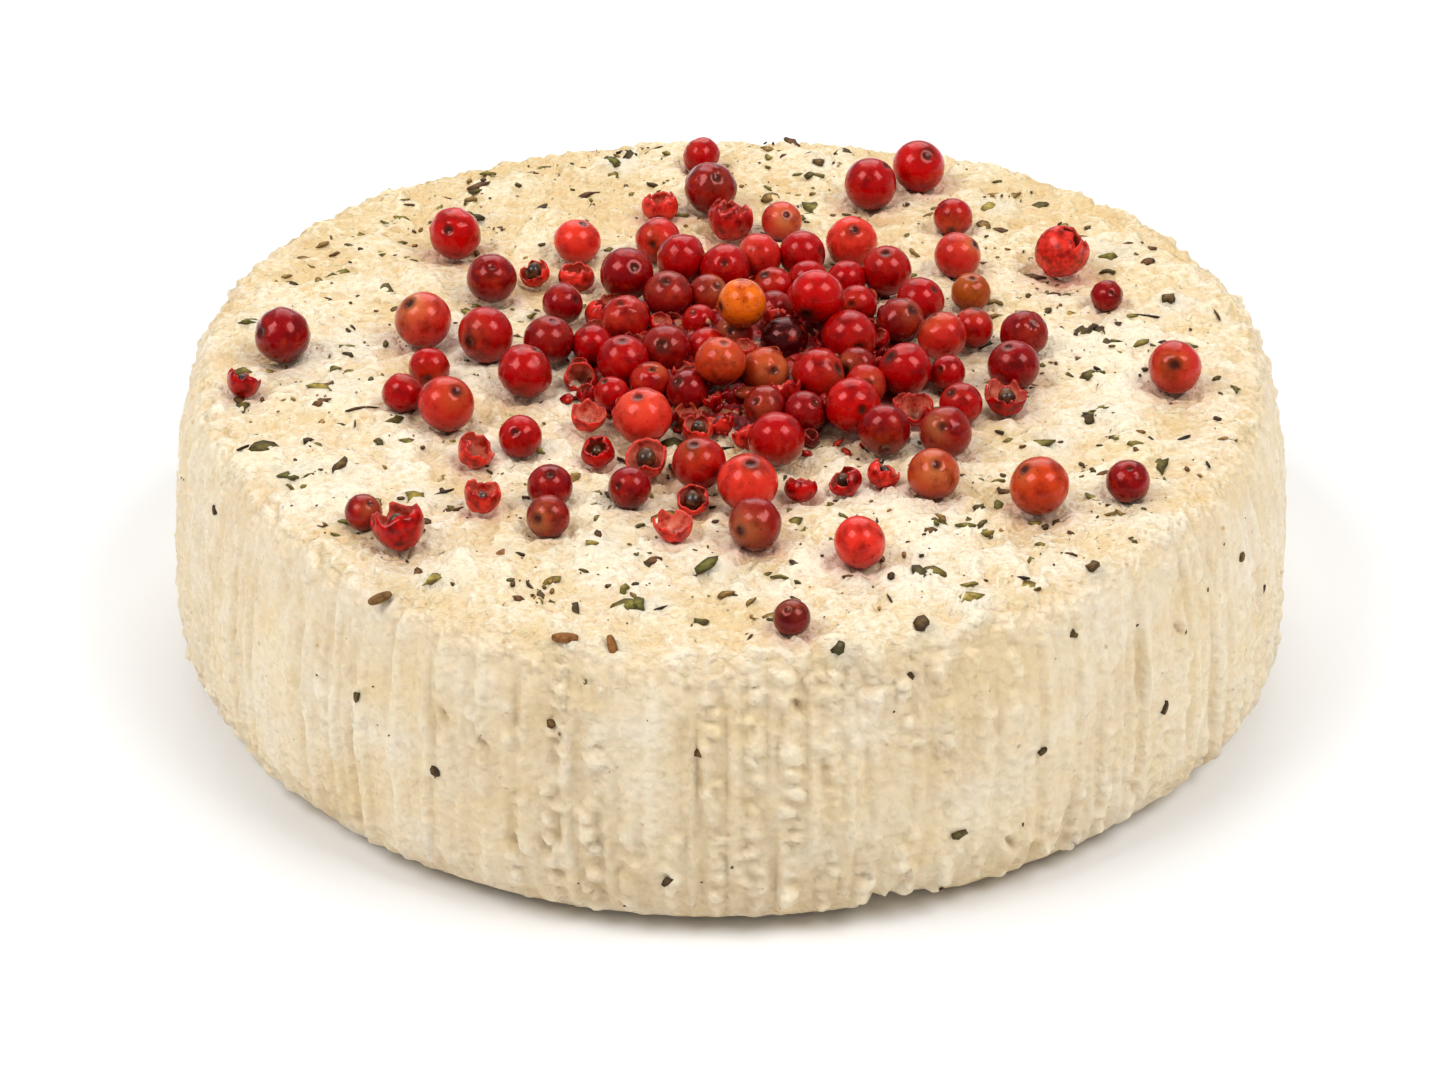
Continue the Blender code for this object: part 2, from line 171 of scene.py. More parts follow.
# %% [markdown]
# ## Noise for curd
#
# Curd is grains of set milk that matted together. Two fields describe it. Value noise is the soft,
# slow one: random heights on a lattice with a smooth blend between them. The grain field is the crisp
# one: each cell of a jittered grid holds one lens-shaped grain, and the surface is the highest grain
# at each point, so neighbours meet in a crease, as real curds do.

# %% Fields worked out as whole arrays
def hashed(*keys):
    """A repeatable random number from 0 to 1 for each set of whole-number keys, by mixing their bits."""
    mixed = np.zeros(np.broadcast_shapes(*(np.shape(key) for key in keys)), dtype=np.uint64)
    for key in keys:
        mixed = mixed ^ np.asarray(np.asarray(key, dtype=np.int64) & 0xFFFFFFFF, dtype=np.uint64)
        mixed = (mixed * np.uint64(0x9E3779B1)) & np.uint64(0xFFFFFFFF)
        mixed = mixed ^ (mixed >> np.uint64(15))
        mixed = (mixed * np.uint64(0x85EBCA6B)) & np.uint64(0xFFFFFFFF)
        mixed = mixed ^ (mixed >> np.uint64(13))
    return mixed.astype(float) / 0xFFFFFFFF


def soft_noise(points, cell, seed):
    """Value noise from -1 to 1: random heights at the corners of a lattice, blended by smooth steps."""
    spot = np.asarray(points) / cell
    corner = np.floor(spot).astype(np.int64)
    part = spot - corner
    part = part * part * (3 - 2 * part)
    total = np.zeros(len(spot))
    for offset in np.ndindex(*(2,) * spot.shape[1]):
        weight = np.prod(np.where(np.array(offset) == 1, part, 1 - part), axis=1)
        total += weight * hashed(*(corner + offset).T, seed)
    return 2 * total - 1


def layered_noise(points, cell, seed, layers=3):
    """Several layers of value noise, each half as wide and half as strong as the one before."""
    total = np.zeros(len(points))
    for layer in range(layers):
        total += soft_noise(points, cell / 2 ** layer, seed + 17 * layer) / 2 ** layer
    return total / (2 - 2.0 ** (1 - layers))


def grain_field(across, along, cell, seed, half, jitter=0.7, columns=None):
    """The highest lens-shaped grain at each point, from 0 to 1.

    Each cell has one grain at a random spot with a random turn, half length and height. A grain's
    height falls from its middle as one minus the squared distance in its own ellipse. With columns,
    the pattern repeats after that many cells across, so that it closes round the wheel.
    """
    cell_across = np.floor(across / cell[0]).astype(np.int64)
    cell_along = np.floor(along / cell[1]).astype(np.int64)
    field = np.zeros(len(across))
    for step_across in (-1, 0, 1):
        for step_along in (-1, 0, 1):
            column = cell_across + step_across
            row = cell_along + step_along
            key = column % columns if columns else column
            middle_across = (column + 0.5 + jitter * (hashed(key, row, seed) - 0.5)) * cell[0]
            middle_along = (row + 0.5 + 0.7 * (hashed(key, row, seed + 1) - 0.5)) * cell[1]
            turn = math.pi * hashed(key, row, seed + 2)
            half_long = half[0] + (half[1] - half[0]) * hashed(key, row, seed + 3)
            half_wide = half_long * (0.55 + 0.4 * hashed(key, row, seed + 4))
            tall = 0.4 + 0.6 * hashed(key, row, seed + 5)
            off_across = across - middle_across
            off_along = along - middle_along
            on_long = (off_across * np.cos(turn) + off_along * np.sin(turn)) / half_long
            on_wide = (off_along * np.cos(turn) - off_across * np.sin(turn)) / half_wide
            field = np.maximum(field, tall * np.clip(1 - on_long ** 2 - on_wide ** 2, 0, 1))
    return field


def smooth_step(value, low, high):
    """0 below low, 1 above high, and a smooth rise between them."""
    share = np.clip((value - low) / (high - low), 0, 1)
    return share * share * (3 - 2 * share)


def turned_from(bearing, centre):
    """The signed turn from a centre bearing to each bearing, at most half a turn either way."""
    return (bearing - centre + math.pi) % (2 * math.pi) - math.pi


def round_about(reach, bearing, middle=(0.0, 0.0)):
    """x and y at each reach and bearing from a middle."""
    return middle[0] + reach * np.cos(bearing), middle[1] + reach * np.sin(bearing)


sample = np.random.default_rng(1).uniform(0, 0.05, (4000, 3))
print("soft noise spread", round(float(soft_noise(sample, 3 * MM, 1).std()), 2))

# %% [markdown]
# ## Where the peppercorns lie
#
# The places are a layout in whole millimetres, the same as in the solid model, and so is
# the rule that settles them: those of the lower layer push each other apart until none overlap, and
# the three of the crown come down until they touch one. The looks need one thing more, the colour of
# each: most are crimson, and the odd ones are named.

# %% The layout
SIZES = {"large": 5.3 * MM, "middle": 4.8 * MM, "small": 4.0 * MM, "tiny": 3.3 * MM}
SIZE_SPREAD = 0.03
BERRY_SEED = 5
WHOLE = {
    "large": [(-27, 22), (19, 37), (14, 33), (-2, 32), (-42, 1), (-29, 4), (41, -5), (-26, -12), (27, -27),
              (-19, -6), (-23, 1), (11, 20), (-10, 13), (-4, 16), (8, 3), (11, 0), (16, -6), (8, -7),
              (11, -13), (-8, -15), (1, -26), (4, -19)],
    "middle": [(-23, 13), (11, -36), (2, -33), (-15, 21), (22, 18), (15, 14), (18, 8), (-7, 21), (-1, 15),
               (-10, 4), (27, 2), (26, -5), (20, 1), (14, -17), (17, -24), (19, -17), (-17, 0), (-10, -4),
               (-3, -23), (1, 1), (-1, -8), (5, 0), (3, -6), (7, 18), (3, 17), (-6, 9), (16, 4), (-6, -2)],
    "small": [(-3, 41), (22, 27), (5, 26), (23, 11), (-28, -4), (-30, -9), (-19, -17), (-9, -26),
              (-16, -26), (-16, -31), (35, -25), (-16, 8), (23, 3), (21, -11), (-4, -9), (3, -12),
              (-13, 0), (12, 8)],
    "tiny": [(36, 11), (-32, -30), (5, -47), (-11, -9), (20, -5), (-3, 5)],
}
HUSKS = {
    "large": [(32, 18)],
    "middle": [(-29, -33), (0, 26)],
    "small": [(-7, 30), (25, -9), (-15, 15), (-7, -21)],
    "tiny": [(-19, 16), (-45, -6), (-13, -13), (-3, -15), (17, -12), (-23, -19), (-12, -19), (6, -25),
             (10, -24), (14, -23), (-22, -27), (-5, -32), (-3, -27)],
}
CROWN = [(8, 3), (1, 1), (-1, -8)]
FLAKES = {
    "seed": [(-30, -41), (-14, -48), (-10, -49), (-20, -34)],
    "dark": [(16, -46), (16, -38), (31, -37), (9, -50), (-35, -20), (42, 12), (-26, 30), (9, 42)],
    "leaf": [(20, -42), (-8, -43), (-26, -39), (-12, -33), (-40, -21), (-28, -25), (-36, 3), (-46, 8),
             (-38, -5), (28, -15), (-2, -37), (-12, 42), (26, 33), (37, 22), (33, -10), (-25, 9)],
}
SIDE_FLAKES = [(-119, 13.9), (-59, 14.8), (-68, 8.9), (-128, 18.4), (-107, 21.4), (-158, 7.5), (-157, 24.3),
               (-171, 20.4), (-73, 25.2), (-43, 13.3), (-93, 19.6), (-55, 24.9), (-27, 21.5), (-21, 15.4),
               (-96, 6.8)]
HEAP_MIDDLE = (2 * MM, 0.0)
HEAP_REACH = 21.5 * MM
FILL_COUNT = 60
FILL_REACH = 16 * MM
FILL_ROOM = 0.86
GOLDEN_TURN = math.radians(137.5)
TOUCH = 0.9
SETTLE_STEPS = 120
BERRY_SINK = 0.6 * MM
GAP = 0.3 * MM


def fill_rows(laid):
    """Small peppercorns on a sunflower spiral round the heap's middle, where those laid below leave room."""
    low = [(x, y, radius) for x, y, radius, _, crown in laid if not crown]
    rows = []
    radius = SIZES["small"] / 2
    for i in range(FILL_COUNT):
        reach = FILL_REACH * math.sqrt((i + 0.5) / FILL_COUNT)
        x = HEAP_MIDDLE[0] + reach * math.cos(i * GOLDEN_TURN)
        y = HEAP_MIDDLE[1] + reach * math.sin(i * GOLDEN_TURN)
        if all(math.hypot(x - a, y - b) > FILL_ROOM * (radius + r) for a, b, r in low):
            low.append((x, y, radius))
            rows.append((x, y, radius, False, False))
    return rows


def laid_berries():
    """The place and radius of every peppercorn and husk, whether it is a husk, whether it is in the heap,
    and the place that the layout gives it."""
    draw = random.Random(BERRY_SEED)
    rows = []
    for kind, table in (("whole", WHOLE), ("husk", HUSKS)):
        for size, places in table.items():
            for place in places:
                radius = SIZES[size] / 2 * draw.uniform(1 - SIZE_SPREAD, 1 + SIZE_SPREAD)
                rows.append((place[0] * MM, place[1] * MM, radius, kind == "husk", place in CROWN))
    rows += fill_rows(rows)
    table = np.array(rows, dtype=float)
    radius = table[:, 2]
    husk = table[:, 3] > 0.5
    crown = table[:, 4] > 0.5
    in_heap = np.hypot(table[:, 0] - HEAP_MIDDLE[0], table[:, 1] - HEAP_MIDDLE[1]) < HEAP_REACH
    rest = np.where(in_heap, HEIGHT + GAP, HEIGHT - BERRY_SINK) + radius
    place = np.column_stack([table[:, :2], rest])

    touch = np.add.outer(radius, radius)
    both_in_heap = np.logical_and.outer(in_heap, in_heap)
    touch = np.where(both_in_heap, touch * TOUCH, touch + 2 * GAP)
    one_layer = ~np.logical_or.outer(crown, crown) & ~np.eye(len(radius), dtype=bool)
    for _ in range(SETTLE_STEPS):
        between = place[:, None, :2] - place[None, :, :2]
        distance = np.linalg.norm(between, axis=2) + 1e-9
        overlap = np.where(one_layer, np.clip(touch - distance, 0, None), 0)
        place[:, :2] += (between / distance[:, :, None] * overlap[:, :, None] / 4).sum(axis=1)
    for i in np.flatnonzero(crown):
        off = np.linalg.norm(place[:, :2] - place[i, :2], axis=1)
        climb = np.sqrt(np.clip(touch[i] ** 2 - off ** 2, 0, None))
        place[i, 2] = max(rest[i], (place[:, 2] + climb)[~crown].max())
    place[:, 2] += np.where(in_heap, -GAP, BERRY_SINK / 2)
    return place, radius, husk, in_heap, np.rint(table[:, :2] / MM).astype(int)


place, radius, husk, in_heap, grid_place = laid_berries()
print(len(radius), "peppercorns,", int(husk.sum()), "of them open husks,", int(in_heap.sum()), "in the heap")

# %% [markdown]
# ## The wheel's surface
#
# The curd could be sculpted or displaced by a texture, but an exported model keeps neither. Here the
# whole skin is one function: a bearing and a place along the profile give a point, and a relief in
# millimetres moves it along the profile's normal. The top is a square grid that is squeezed into a
# disc, so its rim has as many points as the side has columns and the two join without a seam.

# %% The plain form
def side_radius(height):
    """The radius of the side, which bulges out to its widest and draws in above and below."""
    above = np.clip((height - WIDEST_AT) / (HEIGHT - WIDEST_AT), 0, 1)
    below = np.clip((WIDEST_AT - height) / WIDEST_AT, 0, 1)
    drawn_in = (WIDEST_RADIUS - SHOULDER_RADIUS) * above ** 2 + (WIDEST_RADIUS - FOOT_RADIUS) * below ** 2
    return WIDEST_RADIUS - drawn_in


def lobes(bearing, terms):
    """The sum of the lobes at a bearing, as a share of the radius."""
    return sum(c * np.cos(n * bearing) + s * np.sin(n * bearing) for n, c, s in terms)


def outline_growth(bearing, height):
    """How much larger than a true circle the outline is, blended from the foot's lobes to the top's."""
    share_up = np.clip(height / HEIGHT, 0, 1)
    return 1 + (1 - share_up) * lobes(bearing, FOOT_LOBES) + share_up * lobes(bearing, TOP_LOBES)


def side_profile(rows):
    """Radius, height, and the normal's outward and upward parts, from the shoulder's start to the base."""
    fine = 400
    turn = np.linspace(0, math.pi / 2, fine)
    arc_height = HEIGHT - SHOULDER_ROUND * (1 - np.cos(turn))
    arc_radius = side_radius(arc_height) - SHOULDER_ROUND * (1 - np.sin(turn))
    wall_height = np.linspace(HEIGHT - SHOULDER_ROUND, FOOT_ROUND, 2 * fine)[1:-1]
    foot_height = FOOT_ROUND * (1 - np.sin(turn))
    foot_radius = side_radius(foot_height) - FOOT_ROUND * (1 - np.cos(turn))
    line = np.column_stack([
        np.concatenate([arc_radius, side_radius(wall_height), foot_radius]),
        np.concatenate([arc_height, wall_height, foot_height])])
    length = np.concatenate([[0], np.cumsum(np.linalg.norm(np.diff(line, axis=0), axis=1))])
    at = np.linspace(0, length[-1], rows)
    spots = np.column_stack([np.interp(at, length, line[:, 0]), np.interp(at, length, line[:, 1])])
    tangent = np.gradient(spots, axis=0)
    tangent /= np.linalg.norm(tangent, axis=1)[:, None]
    return spots[:, 0], spots[:, 1], -tangent[:, 1], tangent[:, 0]


def groove_draws():
    """Each groove's shift round the wheel, as a share of the spacing, its depth, and its middle's height."""
    draw = random.Random(GROOVE_SEED)
    rows = []
    for _ in range(GROOVES):
        shift = draw.uniform(-GROOVE_SWAY, GROOVE_SWAY)
        depth = GROOVE_DEPTH * (0.25 + 0.75 * draw.random() ** 2)
        middle = draw.uniform(0.3, 0.7)
        rows.append((shift, depth, middle))
    return np.array(rows)


# %% [markdown]
# ## Relief of the side and of the top
#
# The basket's ribs leave upright grooves about 4 mm apart, some deep and long, some hardly there.
# Between them the curd pressed through the mesh stands out in beads, and elsewhere it is smeared
# smooth. The top was the open side: it is matted, lumpy curd, softer in the hollows. All of it is
# worked out in the mesh, and only grain finer than the mesh is left to the material.

# %% Relief
BEAD_COLUMNS = 96
CRUMB_COLUMNS = 288
# Where the side is smeared: a bearing and a half width in degrees, and how much of the relief is lost
SMEARED = ((208, 36, 0.5), (-22, 34, 0.62))
# A bearing in degrees and a height in millimetres for each
PIN_HOLES = [(-110.7, 8.3), (-107.7, 8.7), (-118, 19.6), (-114, 18.0), (-62, 6.0), (-40, 20.0), (-84, 24.0)]
BEAD_RELIEF = 1.1 * MM
RIB_RELIEF = 0.48 * MM
RIB_WIDTH = 0.34 * MM
SWELL_RELIEF = 0.30 * MM
RIDGE_RELIEF = 0.13 * MM
FINE_RELIEF = 0.14 * MM
CRUMBS_RISE = 0.38
CRUMBS_MORE_AT_SHOULDER = 0.3
HOLE_DEPTH = 1.1 * MM
HOLE_WIDTH = 0.35 * MM
HOLE_LENGTH = 0.7 * MM
GROOVE_WIDTH = 0.45 * MM
LIP_AWAY = 0.8 * MM
LIP_WIDTH = 0.34 * MM
LUMP_RELIEF = 0.5 * MM
MATTED_RELIEF = 0.42 * MM
CRUMB_RELIEF = 0.42 * MM
FOLD_RELIEF = 0.28 * MM
STRAND_RELIEF = 0.2 * MM


def side_relief(bearing, height, points):
    """Relief of the side, in metres along the normal.

    Each groove is a bell-shaped cut with a lip beside it. The beads are grains in upright rows, with
    thin crests, called ribs here, between the rows; where they fade out, finer crumbs or a flat that
    was smeared as the cheese left its basket take over. A pin hole is a small slanting pit.
    """
    grooves = groove_draws()
    pitch = 2 * math.pi / GROOVES
    nearest = np.rint(bearing / pitch).astype(int)
    groove_cut = np.zeros(len(bearing))
    lip = np.zeros(len(bearing))
    share_up = height / HEIGHT
    for step in (-1, 0, 1):
        groove = (nearest + step) % GROOVES
        middle = (nearest + step + grooves[groove, 0]) * pitch
        sway = 0.3 * MM * soft_noise(np.column_stack([groove * 9.0 * MM, height]), 6 * MM, 3)
        off = (bearing - middle) * WIDEST_RADIUS - sway
        reach = 1 - smooth_step(np.abs(share_up - grooves[groove, 2]), 0.3, 0.62)
        patch = 0.6 + 0.4 * soft_noise(np.column_stack([groove * 7.0 * MM, height]), 3.5 * MM, 5)
        depth = 1.3 * grooves[groove, 1] * reach * patch
        groove_cut += depth * np.exp(-(off / GROOVE_WIDTH) ** 2)
        lip += 0.85 * depth * np.exp(-((off - LIP_AWAY) / LIP_WIDTH) ** 2)
    around = bearing * WIDEST_RADIUS
    wide = ROUND_THE_WHEEL / BEAD_COLUMNS
    bead = grain_field(around, height, (wide, 1.5 * MM), 21, (0.7 * MM, 1.25 * MM), 0.35, BEAD_COLUMNS)
    narrow = ROUND_THE_WHEEL / CRUMB_COLUMNS
    crumb = grain_field(around, height, (narrow, 1.0 * MM), 31, (0.45 * MM, 0.85 * MM), 0.8, CRUMB_COLUMNS)
    low_down = smooth_step(height, 9 * MM, 3 * MM)
    shoulder = smooth_step(height, HEIGHT - 6 * MM, HEIGHT - 2 * MM)
    bead_patch = layered_noise(points * [1, 1, 0.5], 7 * MM, 41)
    bead_share = smooth_step(bead_patch + 0.3 * low_down, -0.35, 0.25) * (1 + 0.3 * low_down)
    crumb_patch = layered_noise(points, 5 * MM, 43)
    crumb_share = smooth_step(crumb_patch + 0.8 * shoulder, -0.35, 0.35)
    swell = layered_noise(points, 8 * MM, 47, 2)
    ridge = 1 - 2 * np.abs(soft_noise(np.column_stack([points[:, :2], 0.1 * points[:, 2]]), 1.7 * MM, 49))
    smeared = np.ones(len(bearing))
    for centre, width, strength in SMEARED:
        off = turned_from(bearing, math.radians(centre))
        smeared -= strength * np.exp(-(off / math.radians(width)) ** 2)
    relief = BEAD_RELIEF * (bead - 0.4) * bead_share * smeared
    crumb_rise = (CRUMBS_RISE + CRUMBS_MORE_AT_SHOULDER * shoulder) * MM
    relief += crumb_rise * (crumb - 0.5) * crumb_share * smeared ** 2
    rib_off = (around / wide - np.rint(around / wide)) * wide + 0.4 * MM * soft_noise(points, 5 * MM, 55)
    rib_patch = layered_noise(points * [1, 1, 0.35], 7 * MM, 63)
    rib = np.exp(-(rib_off / RIB_WIDTH) ** 2) * smooth_step(rib_patch, -0.35, 0.2) * (1 - 0.6 * shoulder)
    relief += RIB_RELIEF * rib
    fine = layered_noise(points, 1.4 * MM, 51, 2)
    hole = np.zeros(len(bearing))
    for pin_bearing, pin_height in PIN_HOLES:
        across = turned_from(bearing, math.radians(pin_bearing)) * WIDEST_RADIUS
        upright = height - pin_height * MM
        hole += np.exp(-((across + 0.5 * upright) / HOLE_WIDTH) ** 2 - (upright / HOLE_LENGTH) ** 2)
    relief = relief + SWELL_RELIEF * swell + RIDGE_RELIEF * ridge + FINE_RELIEF * fine
    return relief - groove_cut + lip - HOLE_DEPTH * hole


def top_relief(points):
    """Relief of the top, in metres: soft lumps, matted grains of two sizes, and folds."""
    flat = points[:, :2]
    lumps = layered_noise(flat, 6 * MM, 53, 2)
    warp = 1.3 * MM * np.column_stack([soft_noise(flat, 3 * MM, 57), soft_noise(flat, 3 * MM, 59)])
    moved = flat + warp
    matted = grain_field(moved[:, 0], moved[:, 1], (2.4 * MM, 1.8 * MM), 61, (1.1 * MM, 2.1 * MM))
    crumb = grain_field(moved[:, 0], moved[:, 1], (1.1 * MM, 1.0 * MM), 67, (0.5 * MM, 0.95 * MM))
    crumb_share = smooth_step(layered_noise(points, 4 * MM, 71), -0.6, 0.2)
    fold = 1 - 2 * np.abs(layered_noise(moved, 2.2 * MM, 73, 2))
    strand = 1 - 2 * np.abs(soft_noise(moved * [0.5, 1.0] + 0.4 * warp, 0.9 * MM, 79))
    grown = LUMP_RELIEF * lumps + MATTED_RELIEF * (matted - 0.5)
    grown = grown + CRUMB_RELIEF * (crumb - 0.5) * crumb_share
    return grown + FOLD_RELIEF * fold + STRAND_RELIEF * strand


# %% Berries press into the top
PRESS_DEPTH = 0.7 * MM
PRESS_RIM = 0.2 * MM


def berry_marks(points):
    """How far the nearest peppercorns press the curd down, in metres, and how much their juice stains it."""
    pressed = np.zeros(len(points))
    stain = np.zeros(len(points))
    for i in range(len(radius)):
        off = np.hypot(points[:, 0] - place[i, 0], points[:, 1] - place[i, 1]) / radius[i]
        rim = PRESS_RIM * np.exp(-((off - 1.15) / 0.3) ** 2)
        pressed = np.maximum(pressed, PRESS_DEPTH * np.exp(-(off / 0.8) ** 2)) - rim * float(not in_heap[i])
        strength = 0.25 + 0.75 * float(hashed(i, 5))
        stain = np.maximum(stain, strength * np.exp(-(np.clip(off - 0.6, 0, None) / 0.75) ** 2))
    return pressed, stain


def herb_marks(points):
    """How near a herb lies, from 0 to 1: damp herb makes the curd round it greyer and glassier."""
    mark = np.zeros(len(points))
    for kind, size in (("leaf", 2.2 * MM), ("dark", 1.6 * MM), ("seed", 1.2 * MM)):
        for x, y in FLAKES[kind]:
            off = np.hypot(points[:, 0] - x * MM - 0.4 * size, points[:, 1] - y * MM)
            mark = np.maximum(mark, np.exp(-(off / size) ** 2))
    return 0.7 * mark * smooth_step(points[:, 2], 0.9 * HEIGHT, HEIGHT)


# %% [markdown]
# ## Curd material
#
# Fresh curd is milk protein and water: off-white, moist, and a little translucent, so light that goes
# in comes out about a millimetre away. That calls for subsurface scattering with red travelling
# furthest, a satin sheen for the moisture, and three fine bumps for grains of under a millimetre.
# Crests are painted paler as a painted highlight, and hollows painted more ochre as painted shade,
# steered by the relief attribute and the fine grain. The side is painted lighter than the top to
# make up for its dimmer light, and the far part of the top is coloured a little darker and yellower.

# %% Fresh curd
def curd_material():
    """Moist fresh curd: cream, satin, translucent, with paler and warmer patches and ochre specks; painted
    highlight on crests, painted shade in hollows, and a side painted lighter.
    """
    material, add, shader, here = new_material("fresh_curd")
    relief, stain, halo, side, dry = (add("Attribute", {"attribute_name": label}, {}, "Fac")
                                      for label in ("relief", "stain", "halo", "side", "dry"))
    patches = add("TexNoise", {"Scale": 1 / (7 * MM), "Detail": 4.0, "Roughness": 0.6}, {"Vector": here})
    # The top is coloured a little darker and yellower towards the back
    back_patches = add("Math", {"operation": "MULTIPLY_ADD", 1: 0.3}, {0: dry, 2: patches})
    patch_share = add("MapRange", {"From Min": 0.35, "From Max": 0.65}, {0: back_patches})
    top_colour = add("Mix", {6: "#E4D8C2", 7: "#D8C092"}, {0: patch_share})
    # The side's colours are paler than the top's: painted light that makes up for the dimmer light on the
    # side
    side_colour_painted_lighter = add("Mix", {6: "#ECDEC6", 7: "#E8D2A8"}, {0: patch_share})
    ground = add("Mix", {}, {0: side, 6: top_colour, 7: side_colour_painted_lighter})
    fine = add("TexNoise", {"Scale": 1 / (0.8 * MM), "Detail": 3.0, "Roughness": 0.5, "Distortion": 0.3},
               {"Vector": here})
    stretched = add("Mapping", {"Scale": (0.7, 1.5, 1.0)}, {"Vector": here})
    feather = add("TexNoise", {"Scale": 1 / (0.42 * MM), "Detail": 2.0, "Roughness": 0.5},
                  {"Vector": stretched})
    both = add("Math", {"operation": "MULTIPLY_ADD", 1: 0.7}, {0: feather, 2: fine})
    rise = add("Math", {"operation": "MULTIPLY_ADD", 1: 1.8, 2: -1.53}, {0: both})
    calm = add("Math", {"operation": "MULTIPLY_ADD", 1: -0.55, 2: 1.0}, {0: side})
    level = add("Math", {"operation": "MULTIPLY_ADD"}, {0: rise, 1: calm, 2: relief})
    # Painted shade: the low parts of the relief and of the fine grain noise are coloured darker ochre,
    # lighter on the side
    painted_hollow_shade = add("MapRange", {"From Min": -0.7, "From Max": 0.28, "To Min": 0.75, "To Max": 0.0}, {0: level})
    hollow_shade_colour = add("Mix", {6: "#D0AC70", 7: "#D6BC90"}, {0: side})
    hollow_shaded = add("Mix", {}, {0: painted_hollow_shade, 6: ground, 7: hollow_shade_colour})
    # Painted highlight: the high parts of the relief and of the fine grain are coloured a paler cream
    painted_crest_highlight = add("MapRange", {"From Min": 0.05, "From Max": 0.7, "To Min": 0.0, "To Max": 0.6}, {0: level})
    shaded = add("Mix", {7: "#F0E5CA"}, {0: painted_crest_highlight, 6: hollow_shaded})
    dots = add("TexVoronoi", {"Scale": 1 / (1.9 * MM)}, {"Vector": here})
    dot_near = add("MapRange", {"From Min": 0.05, "From Max": 0.16, "To Min": 1.0, "To Max": 0.0}, {0: dots})
    dot_pick = add("SeparateColor", {}, {"Color": dots.node.outputs["Color"]})
    dot_some = add("MapRange", {"From Min": 0.68, "From Max": 0.95, "To Max": 0.7}, {0: dot_pick})
    dot_share = add("Math", {"operation": "MULTIPLY"}, {0: dot_near, 1: dot_some})
    dotted = add("Mix", {7: "#B98C50"}, {0: dot_share, 6: shaded})
    wet = add("Mix", {7: "#D8CFBA"}, {0: halo, 6: dotted})
    stain_break = add("TexNoise", {"Scale": 1 / (2.5 * MM), "Detail": 3.0}, {"Vector": here})
    stain_share = add("MapRange", {"From Min": 0.3, "From Max": 0.7, "To Min": 0.15, "To Max": 0.85},
                      {0: stain_break})
    stain_mix = add("Math", {"operation": "MULTIPLY"}, {0: stain_share, 1: stain})
    stained = add("Mix", {7: "#DC9A88"}, {0: stain_mix, 6: wet})

    gloss = add("TexNoise", {"Scale": 1 / (1.6 * MM), "Detail": 3.0}, {"Vector": here})
    rough = add("MapRange", {"From Min": 0.3, "From Max": 0.7, "To Min": 0.22, "To Max": 0.5}, {0: gloss})
    grain = add("TexVoronoi", {"feature": "SMOOTH_F1", "Scale": 1 / (0.9 * MM), "Smoothness": 0.35},
                {"Vector": here})
    grain_bump = add("Bump", {"Strength": 0.9, "Distance": 0.26 * MM, "invert": True}, {"Height": grain})
    fine_high = add("Math", {"operation": "MULTIPLY"}, {0: fine, 1: calm})
    fine_bump = add("Bump", {"Strength": 0.9, "Distance": 0.34 * MM},
                    {"Height": fine_high, "Normal": grain_bump})
    feather_high = add("Math", {"operation": "MULTIPLY"}, {0: feather, 1: calm})
    feather_bump = add("Bump", {"Strength": 0.9, "Distance": 0.18 * MM},
                       {"Height": feather_high, "Normal": fine_bump})
    fill(shader, {"Subsurface Weight": 0.2, "Subsurface Radius": (1.0, 0.55, 0.25),
                  "Subsurface Scale": 0.7 * MM, "IOR": 1.42},
         {"Base Color": stained, "Roughness": rough, "Normal": feather_bump})
    return material


curd = curd_material()

# %% The wheel's mesh
RIM_POINTS = 768
SIDE_ROWS = 77
GRID = RIM_POINTS // 4
BACK_TINT_FROM = 0.0
BACK_TINT_TO = 42 * MM


def disc_grid(steps, rim_radius):
    """A square grid squeezed into a disc: ring number is the larger of the two offsets, and the points of
    a ring are spread evenly round it. Returns radius and bearing of each point, and the faces."""
    line = np.arange(steps + 1) - steps / 2
    across, along = np.meshgrid(line, line, indexing="ij")
    ring = np.maximum(np.abs(across), np.abs(along))
    safe = np.where(ring == 0, 1, ring)
    right = (np.abs(across) >= np.abs(along)) & (across > 0)
    left = (np.abs(across) >= np.abs(along)) & (across < 0)
    front = (np.abs(along) > np.abs(across)) & (along < 0)
    quarter = math.pi / 4
    bearing = np.where(right, quarter * along / safe,
                       np.where(left, math.pi - quarter * along / safe,
                                np.where(front, 6 * quarter + quarter * across / safe,
                                         2 * quarter - quarter * across / safe)))
    number = np.arange((steps + 1) ** 2).reshape(steps + 1, steps + 1)
    faces = np.stack([number[:-1, :-1], number[1:, :-1], number[1:, 1:], number[:-1, 1:]], axis=-1)
    faces = faces.reshape(-1, 4)
    return (ring / (steps / 2) * rim_radius).ravel(), bearing.ravel() % (2 * math.pi), ring.ravel(), faces


